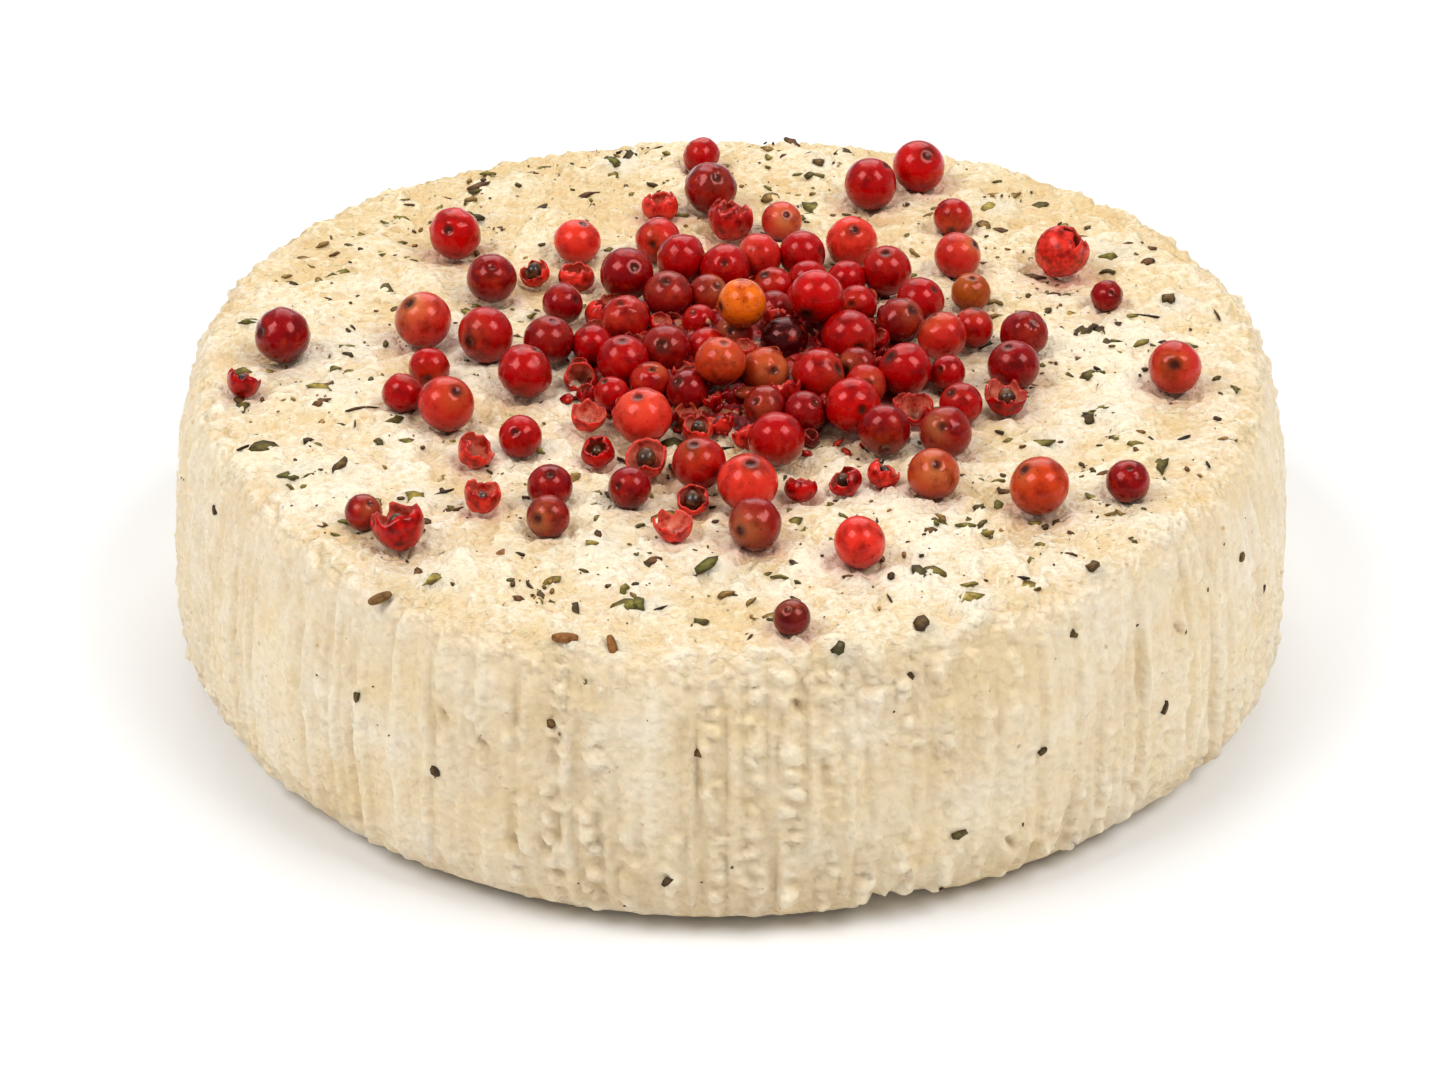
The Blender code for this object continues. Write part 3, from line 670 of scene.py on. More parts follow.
def wheel_mesh():
    """Points, faces and attributes of the whole wheel: top disc, side from shoulder to foot, and base."""
    profile_radius, profile_height, out_part, up_part = side_profile(SIDE_ROWS)
    top_radius, top_bearing, ring, top_faces = disc_grid(GRID, profile_radius[0])
    side_bearing = np.arange(RIM_POINTS) * 2 * math.pi / RIM_POINTS
    rows = SIDE_ROWS - 1

    def stacked(of_top, of_profile, of_base):
        """One value a point: those of the top, each profile row's repeated round the rim, the base's."""
        return np.concatenate([np.broadcast_to(of_top, top_radius.shape),
                               np.repeat(of_profile[1:], RIM_POINTS), [of_base]])

    plain_radius = stacked(top_radius, profile_radius, 0.0)
    height = stacked(HEIGHT, profile_height, 0.0)
    bearing = np.concatenate([top_bearing, np.tile(side_bearing, rows), [0.0]])
    outward = stacked(0.0, out_part, 0.0)
    upward = stacked(1.0, up_part, -1.0)

    grown = plain_radius * outline_growth(bearing, height)
    points = np.column_stack([*round_about(grown, bearing), height])
    on_side = smooth_step(outward, 0.35, 0.95)
    foot_fade = smooth_step(height, 0.2 * MM, 3.2 * MM)
    top = top_relief(points)
    wall = side_relief(bearing, height, points)
    pressed, stain = berry_marks(points)
    halo = herb_marks(points)
    on_top = 1 - on_side
    relief = (top * on_top + wall * on_side) * foot_fade
    stain = stain * smooth_step(height, 0.9 * HEIGHT, HEIGHT)
    move = relief - pressed * (upward > 0.9)
    nick_off = turned_from(bearing, NICK_BEARING)
    nick = smooth_step(nick_off, -NICK_EDGE, NICK_EDGE)
    nick = nick * (1 - smooth_step(nick_off, 0.2 * NICK_WIDTH, NICK_WIDTH))
    nick *= NICK_DEPTH * (1 - smooth_step(height, 0.0, NICK_HEIGHT))
    nick *= smooth_step(plain_radius, 0.8 * WIDEST_RADIUS, 0.9 * WIDEST_RADIUS)
    reach = grown + outward * move - nick
    points = np.column_stack([*round_about(reach, bearing), height + upward * move])
    points[:, 2] = np.clip(points[:, 2], 0, None)

    # The top's rim in order of bearing is the first row of the side
    rim = np.flatnonzero(ring == GRID / 2)
    rim = rim[np.argsort(top_bearing[rim])]
    number = np.vstack([rim, len(top_radius) + np.arange(rows * RIM_POINTS).reshape(rows, RIM_POINTS)])
    after = np.roll(number, -1, axis=1)
    side_faces = np.stack([number[:-1], number[1:], after[1:], after[:-1]], axis=-1).reshape(-1, 4)
    middle = np.full(RIM_POINTS, len(points) - 1)
    base_faces = np.stack([number[-1], middle, after[-1]], axis=-1)
    faces = top_faces.tolist() + side_faces.tolist() + base_faces.tolist()
    # The top is coloured a little darker and yellower towards the back
    dry = smooth_step(points[:, 1], BACK_TINT_FROM, BACK_TINT_TO) * on_top
    attributes = {"relief": relief / MM, "stain": stain, "side": on_side, "halo": halo, "dry": dry}
    return points, faces, attributes


wheel_points, wheel_faces, wheel_attributes = wheel_mesh()
wheel = new_piece("curd_wheel", wheel_points, wheel_faces, curd, wheel_attributes)
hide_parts("cheese_wheel")

# %% [markdown]
# ## Peppercorn skin
#
# A pink peppercorn is a thin papery skin, glossy as lacquer, round a small seed. Fresh ones are
# crimson, bruised ones turn wine or near black, pale ones coral, orange or tan, and all of them are
# mottled. The tint of each is an attribute of its points, and the shader adds what all share.

# %% Peppercorn skin
def skin_material():
    """Thin glossy dried skin: each peppercorn's own tint, mottled darker and paler, with dark pores."""
    material, add, shader, here = new_material("peppercorn_skin")
    tint = add("Attribute", {"attribute_name": "tint"}, {}, "Color")
    scar = add("Attribute", {"attribute_name": "scar"}, {}, "Fac")
    blotch = add("TexNoise", {"Scale": 1 / (1.8 * MM), "Detail": 4.0, "Roughness": 0.6}, {"Vector": here})
    dark_share = add("MapRange", {"From Min": 0.48, "From Max": 0.7, "To Max": 0.8}, {0: blotch})
    darker = add("Mix", {"blend_type": "MULTIPLY", 7: "#8E2A26"}, {0: dark_share, 6: tint})
    worn = add("TexNoise", {"Scale": 1 / (1.1 * MM), "Detail": 5.0, "Roughness": 0.65}, {"Vector": here})
    worn_share = add("MapRange", {"From Min": 0.54, "From Max": 0.7, "To Max": 0.5}, {0: worn})
    paler = add("Mix", {7: "#C0300C"}, {0: worn_share, 6: darker})
    pores = add("TexVoronoi", {"Scale": 1 / (0.8 * MM)}, {"Vector": here})
    pore_share = add("MapRange", {"From Min": 0.06, "From Max": 0.14, "To Min": 0.8, "To Max": 0.0},
                     {0: pores})
    pored = add("Mix", {7: "#4A1210"}, {0: pore_share, 6: paler})
    scarred = add("Mix", {7: "#3A1A10"}, {0: scar, 6: pored})
    rough = add("MapRange", {"From Min": 0.35, "From Max": 0.7, "To Min": 0.14, "To Max": 0.38}, {0: worn})
    pucker = add("TexNoise", {"Scale": 1 / (0.45 * MM), "Detail": 2.0}, {"Vector": here})
    bump = add("Bump", {"Strength": 0.6, "Distance": 0.07 * MM}, {"Height": pucker})
    fill(shader, {"IOR": 1.5, "Specular Tint": (1.0, 0.12, 0.1, 1.0), "Coat Weight": 0.25,
                  "Coat Roughness": 0.12}, {"Base Color": scarred, "Roughness": rough, "Normal": bump})
    return material


skin = skin_material()

# %% The tints
TINTS = {
    "crimson": "#A80206", "wine": "#840208", "bright": "#BC0403", "coral": "#E23022", "orange": "#EE7010",
    "vermilion": "#BE3810", "rust": "#B03810", "tan": "#A04A14", "pink": "#C4201A", "black": "#2E0305",
    "garnet": "#640407",
}
NAMED = {
    "bright": [(-27, 22), (8, 3), (11, -13), (-29, -33), (19, 37)],
    "coral": [(-15, 21), (11, 20), (-8, -15), (1, -26), (11, -36)],
    "orange": [(1, 1)],
    "vermilion": [(-1, -8), (27, -27)],
    "rust": [(17, -24), (3, -6)],
    "tan": [(23, 11)],
    "pink": [(22, 18), (-7, 21), (5, 26), (20, 1), (41, -5), (-26, -12), (3, 17), (-29, 4), (0, 26)],
    "wine": [(-16, -31), (-32, -30), (-42, 1), (-16, -26), (-16, 8), (-6, 9), (-17, 0),
             (26, -5), (27, 2), (35, -25), (-10, 13), (36, 11)],
    "black": [(5, 0)],
    "garnet": [(5, -47)],
}
# How much of the skin round the scar has dried brown; the other tints take a random share
DRIED = {"rust": 0.7, "tan": 1.0, "pink": 0.9, "black": 0.0, "orange": 0.3, "coral": 0.25, "bright": 0.0,
         "vermilion": 0.5}


def berry_tint(i):
    """The tint of one peppercorn: the named one, or crimson or wine by its own random number."""
    for name, places in NAMED.items():
        if tuple(grid_place[i].tolist()) in places:
            return name
    if husk[i]:
        return "bright" if hashed(i, 79) < 0.5 else "coral"
    return "crimson" if hashed(i, 77) < 0.7 else "wine"


tint_names = [berry_tint(i) for i in range(len(radius))]
tints = np.array([hex_colour(TINTS[name]) for name in tint_names])
print({name: tint_names.count(name) for name in TINTS})

# %% [markdown]
# ## Whole peppercorns
#
# Each is a ball of rings between two poles, pushed in and out by noise on the ball itself, so no two
# are alike. The first pole is the stem scar: a small crater with a raised lip. All of them are one
# mesh, worked out as one array of peppercorns by points.

# %% Whole peppercorns
BALL_RINGS = 17
BALL_SIDES = 28
WRINKLED_SHARE = 0.35
CRATER_WIDTH = 0.13
LIP_AT = 0.3
SCAR_WIDTH = 0.24
# Painted shade: how much darker the lower part of each peppercorn's skin is coloured
UNDERSIDE_PAINTED_SHADE = 0.6


def ball_faces(rings, sides):
    """Triangles of a ball whose points are one pole, the rings from it to the other pole, and that pole."""
    number = 1 + np.arange(rings * sides).reshape(rings, sides)
    after = np.roll(number, -1, axis=1)
    walls = np.concatenate([
        np.stack([number[:-1], number[1:], after[1:]], axis=-1).reshape(-1, 3),
        np.stack([number[:-1], after[1:], after[:-1]], axis=-1).reshape(-1, 3)])
    first = np.stack([np.zeros(sides, int), number[0], after[0]], axis=-1)
    last = np.stack([np.full(sides, rings * sides + 1), after[-1], number[-1]], axis=-1)
    return np.concatenate([first, walls, last])


def ball_directions(rings, sides):
    """Unit directions of the ball's points, with rings closer together near the first pole."""
    step = (np.arange(rings) + 1) / (rings + 1)
    polar = np.repeat(math.pi * (0.7 * step + 0.3 * step ** 2), sides)
    round_it = np.tile(np.arange(sides) * 2 * math.pi / sides, rings)
    flat = np.sin(polar)
    walls = np.column_stack([flat * np.cos(round_it), flat * np.sin(round_it), np.cos(polar)])
    return np.vstack([[0, 0, 1], walls, [0, 0, -1]]), np.concatenate([[0], polar, [math.pi]])


def repeated(faces, points_each, count):
    """The faces of one shape, repeated for a count of copies whose points follow each other."""
    return (faces[None] + points_each * np.arange(count)[:, None, None]).reshape(-1, faces.shape[1])


def turns(poles, spins):
    """Rotation matrices that take +Z to each pole, after a spin about +Z."""
    up = poles / np.linalg.norm(poles, axis=1)[:, None]
    helper = np.where(np.abs(up[:, 2:3]) < 0.9, [[0.0, 0.0, 1.0]], [[1.0, 0.0, 0.0]])
    side = np.cross(helper, up)
    side /= np.linalg.norm(side, axis=1)[:, None]
    front = np.cross(up, side)
    first = side * np.cos(spins)[:, None] + front * np.sin(spins)[:, None]
    second = np.cross(up, first)
    return np.stack([first, second, up], axis=-1)


def whole_peppercorns(name, chosen, seed):
    """One mesh of the chosen whole peppercorns: lumpy balls with a stem scar at a random pole.

    A point's distance from the middle is its radius times one, plus low noise, less the wrinkles, which
    run where a second noise crosses nought, less a bell-shaped crater, plus a bell-shaped lip round it.
    """
    picks = np.flatnonzero(chosen)
    draw = np.random.default_rng(seed)
    directions, polar = ball_directions(BALL_RINGS, BALL_SIDES)
    count = len(picks)
    size = len(directions)
    poles = draw.normal(0, 0.6, (count, 3)) + [0, -0.6, 0.9]
    matrices = turns(poles, draw.uniform(0, 2 * math.pi, count))
    wrinkled = np.where(draw.random(count) < WRINKLED_SHARE, draw.uniform(0.03, 0.07, count),
                        draw.uniform(0.0, 0.015, count))
    flatter = draw.uniform(0.92, 0.99, count)
    spots = (directions[None] + draw.uniform(0, 50, (count, 1, 3))).reshape(-1, 3)
    lump = layered_noise(spots, 1.1, seed, 2).reshape(count, size)
    crease = (1 - np.abs(layered_noise(spots, 0.55, seed + 1, 2)) * 2.2).reshape(count, size)
    crater = np.exp(-(polar / CRATER_WIDTH) ** 2)
    lip = np.exp(-((polar - LIP_AT) / 0.12) ** 2)
    grown = 0.995 + 0.03 * lump - wrinkled[:, None] * np.clip(crease, 0, None) - 0.10 * crater + 0.012 * lip
    body = directions[None] * grown[:, :, None]
    body[:, :, 2] *= flatter[:, None]
    turned = np.einsum("nij,nkj->nki", matrices, body) * radius[picks][:, None, None]
    points = (turned + place[picks][:, None, :]).reshape(-1, 3)
    ragged = np.clip(0.5 + 0.9 * lump, 0, 1)[:, :, None]
    shown = np.array([DRIED.get(tint_names[i], 0.6 * draw.random() ** 2) for i in picks])[:, None, None]
    browned = np.exp(-(polar / 0.85) ** 2)[None, :, None] * ragged * shown
    dried = np.where(draw.random((count, 1, 1)) < 0.4, hex_colour("#A8521C"), hex_colour("#CE8C50"))
    colours = tints[picks][:, None, :] * (1 - browned) + dried * browned
    # The scar is a dark ragged spot; the lower part of each skin is darkened as painted shade
    scar = np.clip(1.7 * np.exp(-(polar / SCAR_WIDTH) ** 2)[None] + 0.9 * lump - 0.35, 0, 1) * (polar < 0.6)
    under = smooth_step(-(turned[:, :, 2] / radius[picks][:, None]), -0.25, 0.95)
    colours = colours * (1 - UNDERSIDE_PAINTED_SHADE * under[:, :, None])
    colours = np.broadcast_to(colours, (count, size, 4)).reshape(-1, 4)
    faces = repeated(ball_faces(BALL_RINGS, BALL_SIDES), size, count)
    return new_piece(name, points, faces, skin, {"tint": colours, "scar": scar.ravel()})


lone = whole_peppercorns("peppercorns_lone", ~husk & ~in_heap, 101)
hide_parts("cheese_wheel")
heaped = whole_peppercorns("peppercorns_heap", ~husk & in_heap, 103)
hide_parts("peppercorn_heap")

# %% [markdown]
# ## Open husks
#
# Some peppercorns have burst. What is left is a cup of thin skin with a ragged rim, pale and pithy
# inside, and in about half of them the brown seed. The cup is drawn like the ball: from the pole
# underneath up the outer wall to the rim, and down the inner wall to the pole again, so it has a real
# thickness. Smaller broken ones lie wherever the heap has room for them.

# %% Husk skin
def husk_material():
    """Thin torn skin: each husk's own red outside, blotched; inside salmon pith with darker red streaks."""
    material, add, shader, here = new_material("husk_skin")
    tint = add("Attribute", {"attribute_name": "tint"}, {}, "Color")
    inside = add("Attribute", {"attribute_name": "inside"}, {}, "Fac")
    blotch = add("TexNoise", {"Scale": 1 / (0.9 * MM), "Detail": 4.0, "Roughness": 0.6}, {"Vector": here})
    blotch_share = add("MapRange", {"From Min": 0.4, "From Max": 0.65}, {0: blotch})
    outer = add("Mix", {"blend_type": "MULTIPLY", 7: "#8A2A24"}, {0: blotch_share, 6: tint})
    pith = add("Mix", {6: "#E08A6E", 7: "#B8281C"}, {0: blotch_share})
    walls = add("Mix", {}, {0: inside, 6: outer, 7: pith})
    seat = add("MapRange", {"From Min": 1.2, "From Max": 1.9, "To Max": 0.85}, {0: inside})
    skin_colour = add("Mix", {7: "#5C3A1E"}, {0: seat, 6: walls})
    fill(shader, {"Roughness": 0.25, "IOR": 1.5, "Specular Tint": (1.0, 0.45, 0.4, 1.0),
                  "Subsurface Weight": 0.2, "Subsurface Radius": (1.0, 0.35, 0.25),
                  "Subsurface Scale": 0.6 * MM}, {"Base Color": skin_colour})
    return material


husk_skin = husk_material()
HUSK_ROWS = 9
HUSK_SIDES = 32
HUSK_RADIUS = 0.93
HUSK_WALL = 0.09
RIM_ANGLES = (84, 122)
TOOTH_ANGLES = (24, 48)
WIDEST_RIM = 165
LARGE_HUSK = 2.2 * MM
LARGE_RIM_MORE = 20
LEAN_OUT = 50 * MM


def open_husks(name, middles, sizes, tint, seed):
    """One mesh of cups of skin with four to six pointed lobes, each open towards its own direction.

    The wall goes up from the pole to the rim's angle, which rises with each tooth, and back down inside.
    Past the middle the wall curls in or out. The large husks are more closed and lean away from the
    wheel's middle line.
    """
    draw = np.random.default_rng(seed)
    count = len(middles)
    share = np.concatenate([np.linspace(0, 1, HUSK_ROWS + 1)[1:], np.linspace(1, 0, HUSK_ROWS + 1)[:-1]])
    inner = np.concatenate([np.zeros(HUSK_ROWS), np.ones(HUSK_ROWS)])
    side = np.arange(HUSK_SIDES) / HUSK_SIDES
    teeth = draw.integers(4, 7, (count, 1))
    phase = draw.random((count, 1))
    pointed = 1 - np.abs((side[None] * teeth + phase) % 1 * 2 - 1)
    tall_tooth = 0.55 + 0.45 * np.sin(2 * math.pi * (side[None] + phase))
    large = sizes > LARGE_HUSK
    rim = draw.uniform(*RIM_ANGLES, (count, 1)) + LARGE_RIM_MORE * large[:, None]
    rim = rim + draw.uniform(*TOOTH_ANGLES, (count, 1)) * pointed ** 0.8 * tall_tooth
    rim = np.radians(np.minimum(rim + 5 * draw.normal(size=(count, HUSK_SIDES)), WIDEST_RIM))
    curl = draw.uniform(-0.3, 0.32, (count, 1, 1))
    polar = share[None, :, None] * rim[:, None, :]
    round_it = (2 * math.pi * side)[None, None, :] + 0.25 * np.sin(polar)
    grown = HUSK_RADIUS - HUSK_WALL * inner[None, :, None] + curl * smooth_step(polar, 1.1, 2.4)
    grown = grown * (1 + 0.04 * np.sin(teeth[:, :, None] * round_it))
    body = np.stack([grown * np.sin(polar) * np.cos(round_it), grown * np.sin(polar) * np.sin(round_it),
                     grown * np.cos(polar)], axis=-1).reshape(count, -1, 3)
    first = np.tile([[[0, 0, HUSK_RADIUS]]], (count, 1, 1))
    last = np.tile([[[0, 0, HUSK_RADIUS - HUSK_WALL]]], (count, 1, 1))
    body = np.concatenate([first, body, last], axis=1)
    opening = np.column_stack([draw.normal(0, 0.35, count), draw.normal(-0.05, 0.3, count), np.ones(count)])
    opening[large] = opening[large] * 0.4 + [0, 0.2, 0.6]
    opening[large, 0] += middles[large, 0] / LEAN_OUT
    matrices = turns(-opening, draw.uniform(0, 2 * math.pi, count))
    turned = np.einsum("nij,nkj->nki", matrices, body) * sizes[:, None, None]
    points = (turned + middles[:, None, :]).reshape(-1, 3)
    depth = inner * np.clip(1.15 - share, 0, 1) * 2
    inside = np.tile(np.concatenate([[0], np.repeat(depth, HUSK_SIDES), [2]]), count)
    colours = np.broadcast_to(tint[:, None, :], (count, body.shape[1], 4)).reshape(-1, 4)
    faces = repeated(ball_faces(2 * HUSK_ROWS, HUSK_SIDES), body.shape[1], count)
    return new_piece(name, points, faces, husk_skin, {"tint": colours, "inside": inside})


apart = husk & ~in_heap
lone_husks = open_husks("husks_lone", place[apart], radius[apart], tints[apart], 107)
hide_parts("cheese_wheel")
amid = husk & in_heap
heap_husks = open_husks("husks_heap", place[amid], radius[amid], tints[amid], 109)
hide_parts("peppercorn_heap")

# %% Seeds left in the husks
SEED_SHARE = 0.5
SEED_RINGS = 9
SEED_SIDES = 16


def seed_material():
    """The peppercorn's own seed: a hard, dark brown, slightly glossy kernel."""
    material, add, shader, here = new_material("peppercorn_seed")
    mottle = add("TexNoise", {"Scale": 1 / (0.7 * MM), "Detail": 3.0}, {"Vector": here})
    share = add("MapRange", {"From Min": 0.4, "From Max": 0.65}, {0: mottle})
    brown = add("Mix", {6: "#2C1408", 7: "#6A4222"}, {0: share})
    fill(shader, {"Roughness": 0.3}, {"Base Color": brown})
    return material


kernel = seed_material()


def husk_seeds(name, chosen, seed):
    """One mesh of seeds, each a dented ball low in its husk; about half of the husks have kept theirs."""
    draw = np.random.default_rng(seed)
    picks = np.flatnonzero(chosen)
    picks = picks[draw.random(len(picks)) < SEED_SHARE]
    directions, _ = ball_directions(SEED_RINGS, SEED_SIDES)
    count = len(picks)
    spots = (directions[None] + draw.uniform(0, 50, (count, 1, 3))).reshape(-1, 3)
    lump = layered_noise(spots, 0.9, seed, 2).reshape(count, -1, 1)
    body = directions[None] * (1 + 0.22 * lump) * draw.uniform(0.35, 0.55, (count, 1, 1))
    body = body * radius[picks][:, None, None]
    points = (body + place[picks][:, None, :] - [0, 0, 0.1 * MM]).reshape(-1, 3)
    faces = repeated(ball_faces(SEED_RINGS, SEED_SIDES), len(directions), count)
    return new_piece(name, points, faces, kernel)


for name, chosen, node, seed in (("seeds_lone", husk & ~in_heap, "cheese_wheel", 221),
                                 ("seeds_heap", husk & in_heap, "peppercorn_heap", 223)):
    kernels = husk_seeds(name, chosen, seed)
    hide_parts(node)

# %% Broken husks in the gaps
GAP_TRIES = 2500
GAP_REACH = 17 * MM
SMALLEST_ROOM = 0.7 * MM
LARGEST_BROKEN = 1.7 * MM


def gap_fillers():
    """Places and radii of small husks wherever random tries find room between those already laid."""
    draw = np.random.default_rng(181)
    laid = np.column_stack([place, radius])[in_heap]
    found = []
    for _ in range(GAP_TRIES):
        reach = GAP_REACH * math.sqrt(draw.random())
        bearing = draw.uniform(0, 2 * math.pi)
        height = HEIGHT + (0.9 + 2.6 * draw.random() * (1 - (reach / GAP_REACH) ** 2)) * MM
        spot = np.array([HEAP_MIDDLE[0] + reach * math.cos(bearing),
                         HEAP_MIDDLE[1] + reach * math.sin(bearing), height])
        room = (np.linalg.norm(laid[:, :3] - spot, axis=1) - laid[:, 3]).min()
        if room > SMALLEST_ROOM:
            small = min(room + 0.25 * MM, LARGEST_BROKEN)
            laid = np.vstack([laid, [*spot, small]])
            found.append((*spot, small))
    return np.array(found)


fillers = gap_fillers()
filler_names = np.array(["crimson", "bright", "wine", "pink", "rust", "coral"])
filler_tints = np.array([hex_colour(TINTS[name])
                         for name in np.random.default_rng(183).choice(filler_names, len(fillers))])
broken = open_husks("husks_broken", fillers[:, :3], fillers[:, 3], filler_tints, 185)
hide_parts("peppercorn_heap")

# %% [markdown]
# ## Chips: torn skin, leaf and specks
#
# Everything small and flat is one kind of shape, a chip: a centre, a ragged ring, the same ring a
# little lower, and a centre underneath. A ring of six to ten points is enough for something a
# millimetre across, and one array holds all chips of a kind.

# %% Surfaces to lay things on
EDGE_SHADE = 0.45
DOMED = 0.62


def top_height(x, y):
    """The height of the curd's top at each place, with its relief and the dents under the peppercorns."""
    points = np.column_stack([x, y, np.full(len(x), HEIGHT)])
    pressed, _ = berry_marks(points)
    return HEIGHT + top_relief(points) - pressed


def side_places(bearings, heights):
    """Points on the side at given bearings and heights, and the outward directions there."""
    bearings = np.asarray(bearings) % (2 * math.pi)
    heights = np.asarray(heights)
    profile_radius, profile_height, out_part, up_part = side_profile(SIDE_ROWS)
    plain, outward, upward = (np.interp(heights, profile_height[::-1], along[::-1])
                              for along in (profile_radius, out_part, up_part))
    plain = plain * outline_growth(bearings, heights)
    around = np.column_stack([np.cos(bearings), np.sin(bearings)])
    spots = np.column_stack([around * plain[:, None], heights])
    normals = np.column_stack([around * outward[:, None], upward])
    return spots + normals * side_relief(bearings, heights, spots)[:, None], normals


def chips(name, spots, normals, half_long, half_wide, thick, bend, tint, material, seed, sides, bites):
    """One mesh of ragged chips lying on a surface.

    A ring point stands at its bearing on an ellipse of the two half sizes, times one plus or minus the
    bites. Bend pulls a point down by bend times its squared distance from the middle, over half_long.
    The ring's colour is the tint times the edge's shade, so each chip is darker round its rim.
    """
    draw = np.random.default_rng(seed)
    count = len(spots)
    side = np.arange(sides) * 2 * math.pi / sides
    ring = 1 + bites * draw.uniform(-1, 1, (count, sides))
    across = half_long[:, None] * ring * np.cos(side)
    along = half_wide[:, None] * ring * np.sin(side)
    drop = bend[:, None] * (across ** 2 + along ** 2) / half_long[:, None]
    upper = np.stack([across, along, thick[:, None] / 2 - drop], axis=-1)
    lower = np.stack([0.9 * across, 0.9 * along, -thick[:, None] / 2 - drop], axis=-1)
    top = np.zeros((count, 1, 3))
    top[:, 0, 2] = DOMED * thick
    under = np.zeros((count, 1, 3))
    under[:, 0, 2] = -DOMED * thick
    body = np.concatenate([top, upper, lower, under], axis=1)
    matrices = turns(normals, draw.uniform(0, 2 * math.pi, count))
    points = (np.einsum("nij,nkj->nki", matrices, body) + spots[:, None, :]).reshape(-1, 3)
    shade = np.concatenate([[1.0], np.full(2 * sides, EDGE_SHADE), [1.0]])
    colours = (tint[:, None, :] * shade[None, :, None]).reshape(-1, 4)
    faces = repeated(ball_faces(2, sides), body.shape[1], count)
    return new_piece(name, points, faces, material, {"tint": colours})


def leaning(count, spread, seed):
    """Upward directions that lean at random."""
    draw = np.random.default_rng(seed)
    return np.column_stack([draw.normal(0, spread, count), draw.normal(0, spread, count), np.ones(count)])


# %% [markdown]
# ## The bed of the heap
#
# Between the peppercorns of the heap lie their crumbs: broken skin, seed coats and dust, stained dark.
# It is built as a low mound with grains worked out in its surface, and chips of skin lie over it.

# %% The bed
def crumb_material():
    """Crumbled peppercorn: dark dried reds, with browner and paler crumbs, dull but for a few glints."""
    material, add, shader, here = new_material("peppercorn_crumbs")
    cells = add("TexVoronoi", {"Scale": 1 / (0.9 * MM)}, {"Vector": here})
    pick = add("SeparateColor", {}, {"Color": cells.node.outputs["Color"]})
    reds = add("Mix", {6: "#4A0606", 7: "#A81410"}, {0: pick})
    brown_share = add("MapRange", {"From Min": 0.8, "From Max": 0.95}, {0: pick.node.outputs["Green"]})
    browned = add("Mix", {7: "#B87850"}, {0: brown_share, 6: reds})
    bump = add("Bump", {"Strength": 0.8, "Distance": 0.2 * MM}, {"Height": cells})
    fill(shader, {"Roughness": 0.45}, {"Base Color": browned, "Normal": bump})
    return material


crumbs = crumb_material()
BED_REACH = 14.5 * MM
BED_STEPS = 72
BED_CROWN = 1.5 * MM
BED_COARSE = 0.9 * MM
BED_FINE = 0.35 * MM


def bed_mesh():
    """A low mound with a ragged edge: its height falls with the squared reach; two sizes of grains on it."""
    reach, bearing, ring, faces = disc_grid(BED_STEPS, 1.0)
    ragged = 1 + 0.16 * layered_noise(np.column_stack([np.cos(bearing), np.sin(bearing)]) * 3, 1.0, 83)
    spread = BED_REACH * reach * ragged
    x, y = round_about(spread, bearing, HEAP_MIDDLE)
    coarse = grain_field(x, y, (1.6 * MM, 1.4 * MM), 87, (0.8 * MM, 1.4 * MM))
    fine = grain_field(x, y, (0.8 * MM, 0.7 * MM), 89, (0.35 * MM, 0.6 * MM))
    mound = BED_CROWN * (1 - reach ** 2) + (BED_COARSE * coarse + BED_FINE * fine) * (1 - reach ** 8)
    ground = top_height(x, y)
    upper = np.column_stack([x, y, np.maximum(ground, HEIGHT) + mound - 0.35 * MM * reach ** 4])
    under = np.column_stack([x, y, np.full(len(x), HEIGHT - 0.9 * MM)])
    rim = np.flatnonzero(ring == BED_STEPS / 2)
    rim = rim[np.argsort(bearing[rim])]
    after = np.roll(rim, -1)
    count = len(x)
    skirt = np.stack([rim, rim + count, after + count, after], axis=-1)
    return np.vstack([upper, under]), np.vstack([faces, faces[:, ::-1] + count, skirt])


bed_points, bed_faces = bed_mesh()
bed = new_piece("heap_bed", bed_points, bed_faces.tolist(), crumbs)
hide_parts("peppercorn_heap")

# %% Chips of skin
SKIN_CHIPS = 300
CHIP_REACH = 19 * MM
CHIP_LIFT = 3.0 * MM
CHIP_COLOURS = ["#B01212", "#C83020", "#8A0E0C", "#C88A60", "#9A3A1C", "#A81414"]


def skin_chips():
    """Places for chips of skin: thick in the heap's middle, thinning to its rim, with a few outside it."""
    draw = np.random.default_rng(113)
    reach = CHIP_REACH * draw.random(SKIN_CHIPS) ** 0.6
    bearing = draw.uniform(0, 2 * math.pi, SKIN_CHIPS)
    x, y = round_about(reach, bearing, HEAP_MIDDLE)
    lift = (CHIP_LIFT * draw.random(SKIN_CHIPS)) * np.clip(1 - reach / (15 * MM), 0, 1) + 0.3 * MM
    clear = np.ones(SKIN_CHIPS, bool)
    z = np.maximum(top_height(x, y), HEIGHT - 0.3 * MM) + lift
    z += 1.2 * MM * np.clip(1 - (reach / (14 * MM)) ** 2, 0, 1)
    for i in range(len(radius)):
        off = np.sqrt((x - place[i, 0]) ** 2 + (y - place[i, 1]) ** 2 + (z - place[i, 2]) ** 2)
        clear &= off > radius[i] - 0.1 * MM
    return np.column_stack([x, y, z])[clear]


chip_spots = skin_chips()
chip_count = len(chip_spots)
chip_draw = np.random.default_rng(127)
long, wide, thick, bend = (chip_draw.uniform(low, high, chip_count)
                           for low, high in ((0.3, 0.85), (0.25, 0.6), (0.15, 0.4), (-0.5, 0.8)))
chip_tints = np.array([hex_colour(code) for code in CHIP_COLOURS])[chip_draw.integers(0, 6, chip_count)]
torn = chips("skin_chips", chip_spots, leaning(chip_count, 0.7, 131), long * MM, wide * MM, thick * MM, bend,
             chip_tints, skin, 137, 8, 0.35)
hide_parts("peppercorn_heap")

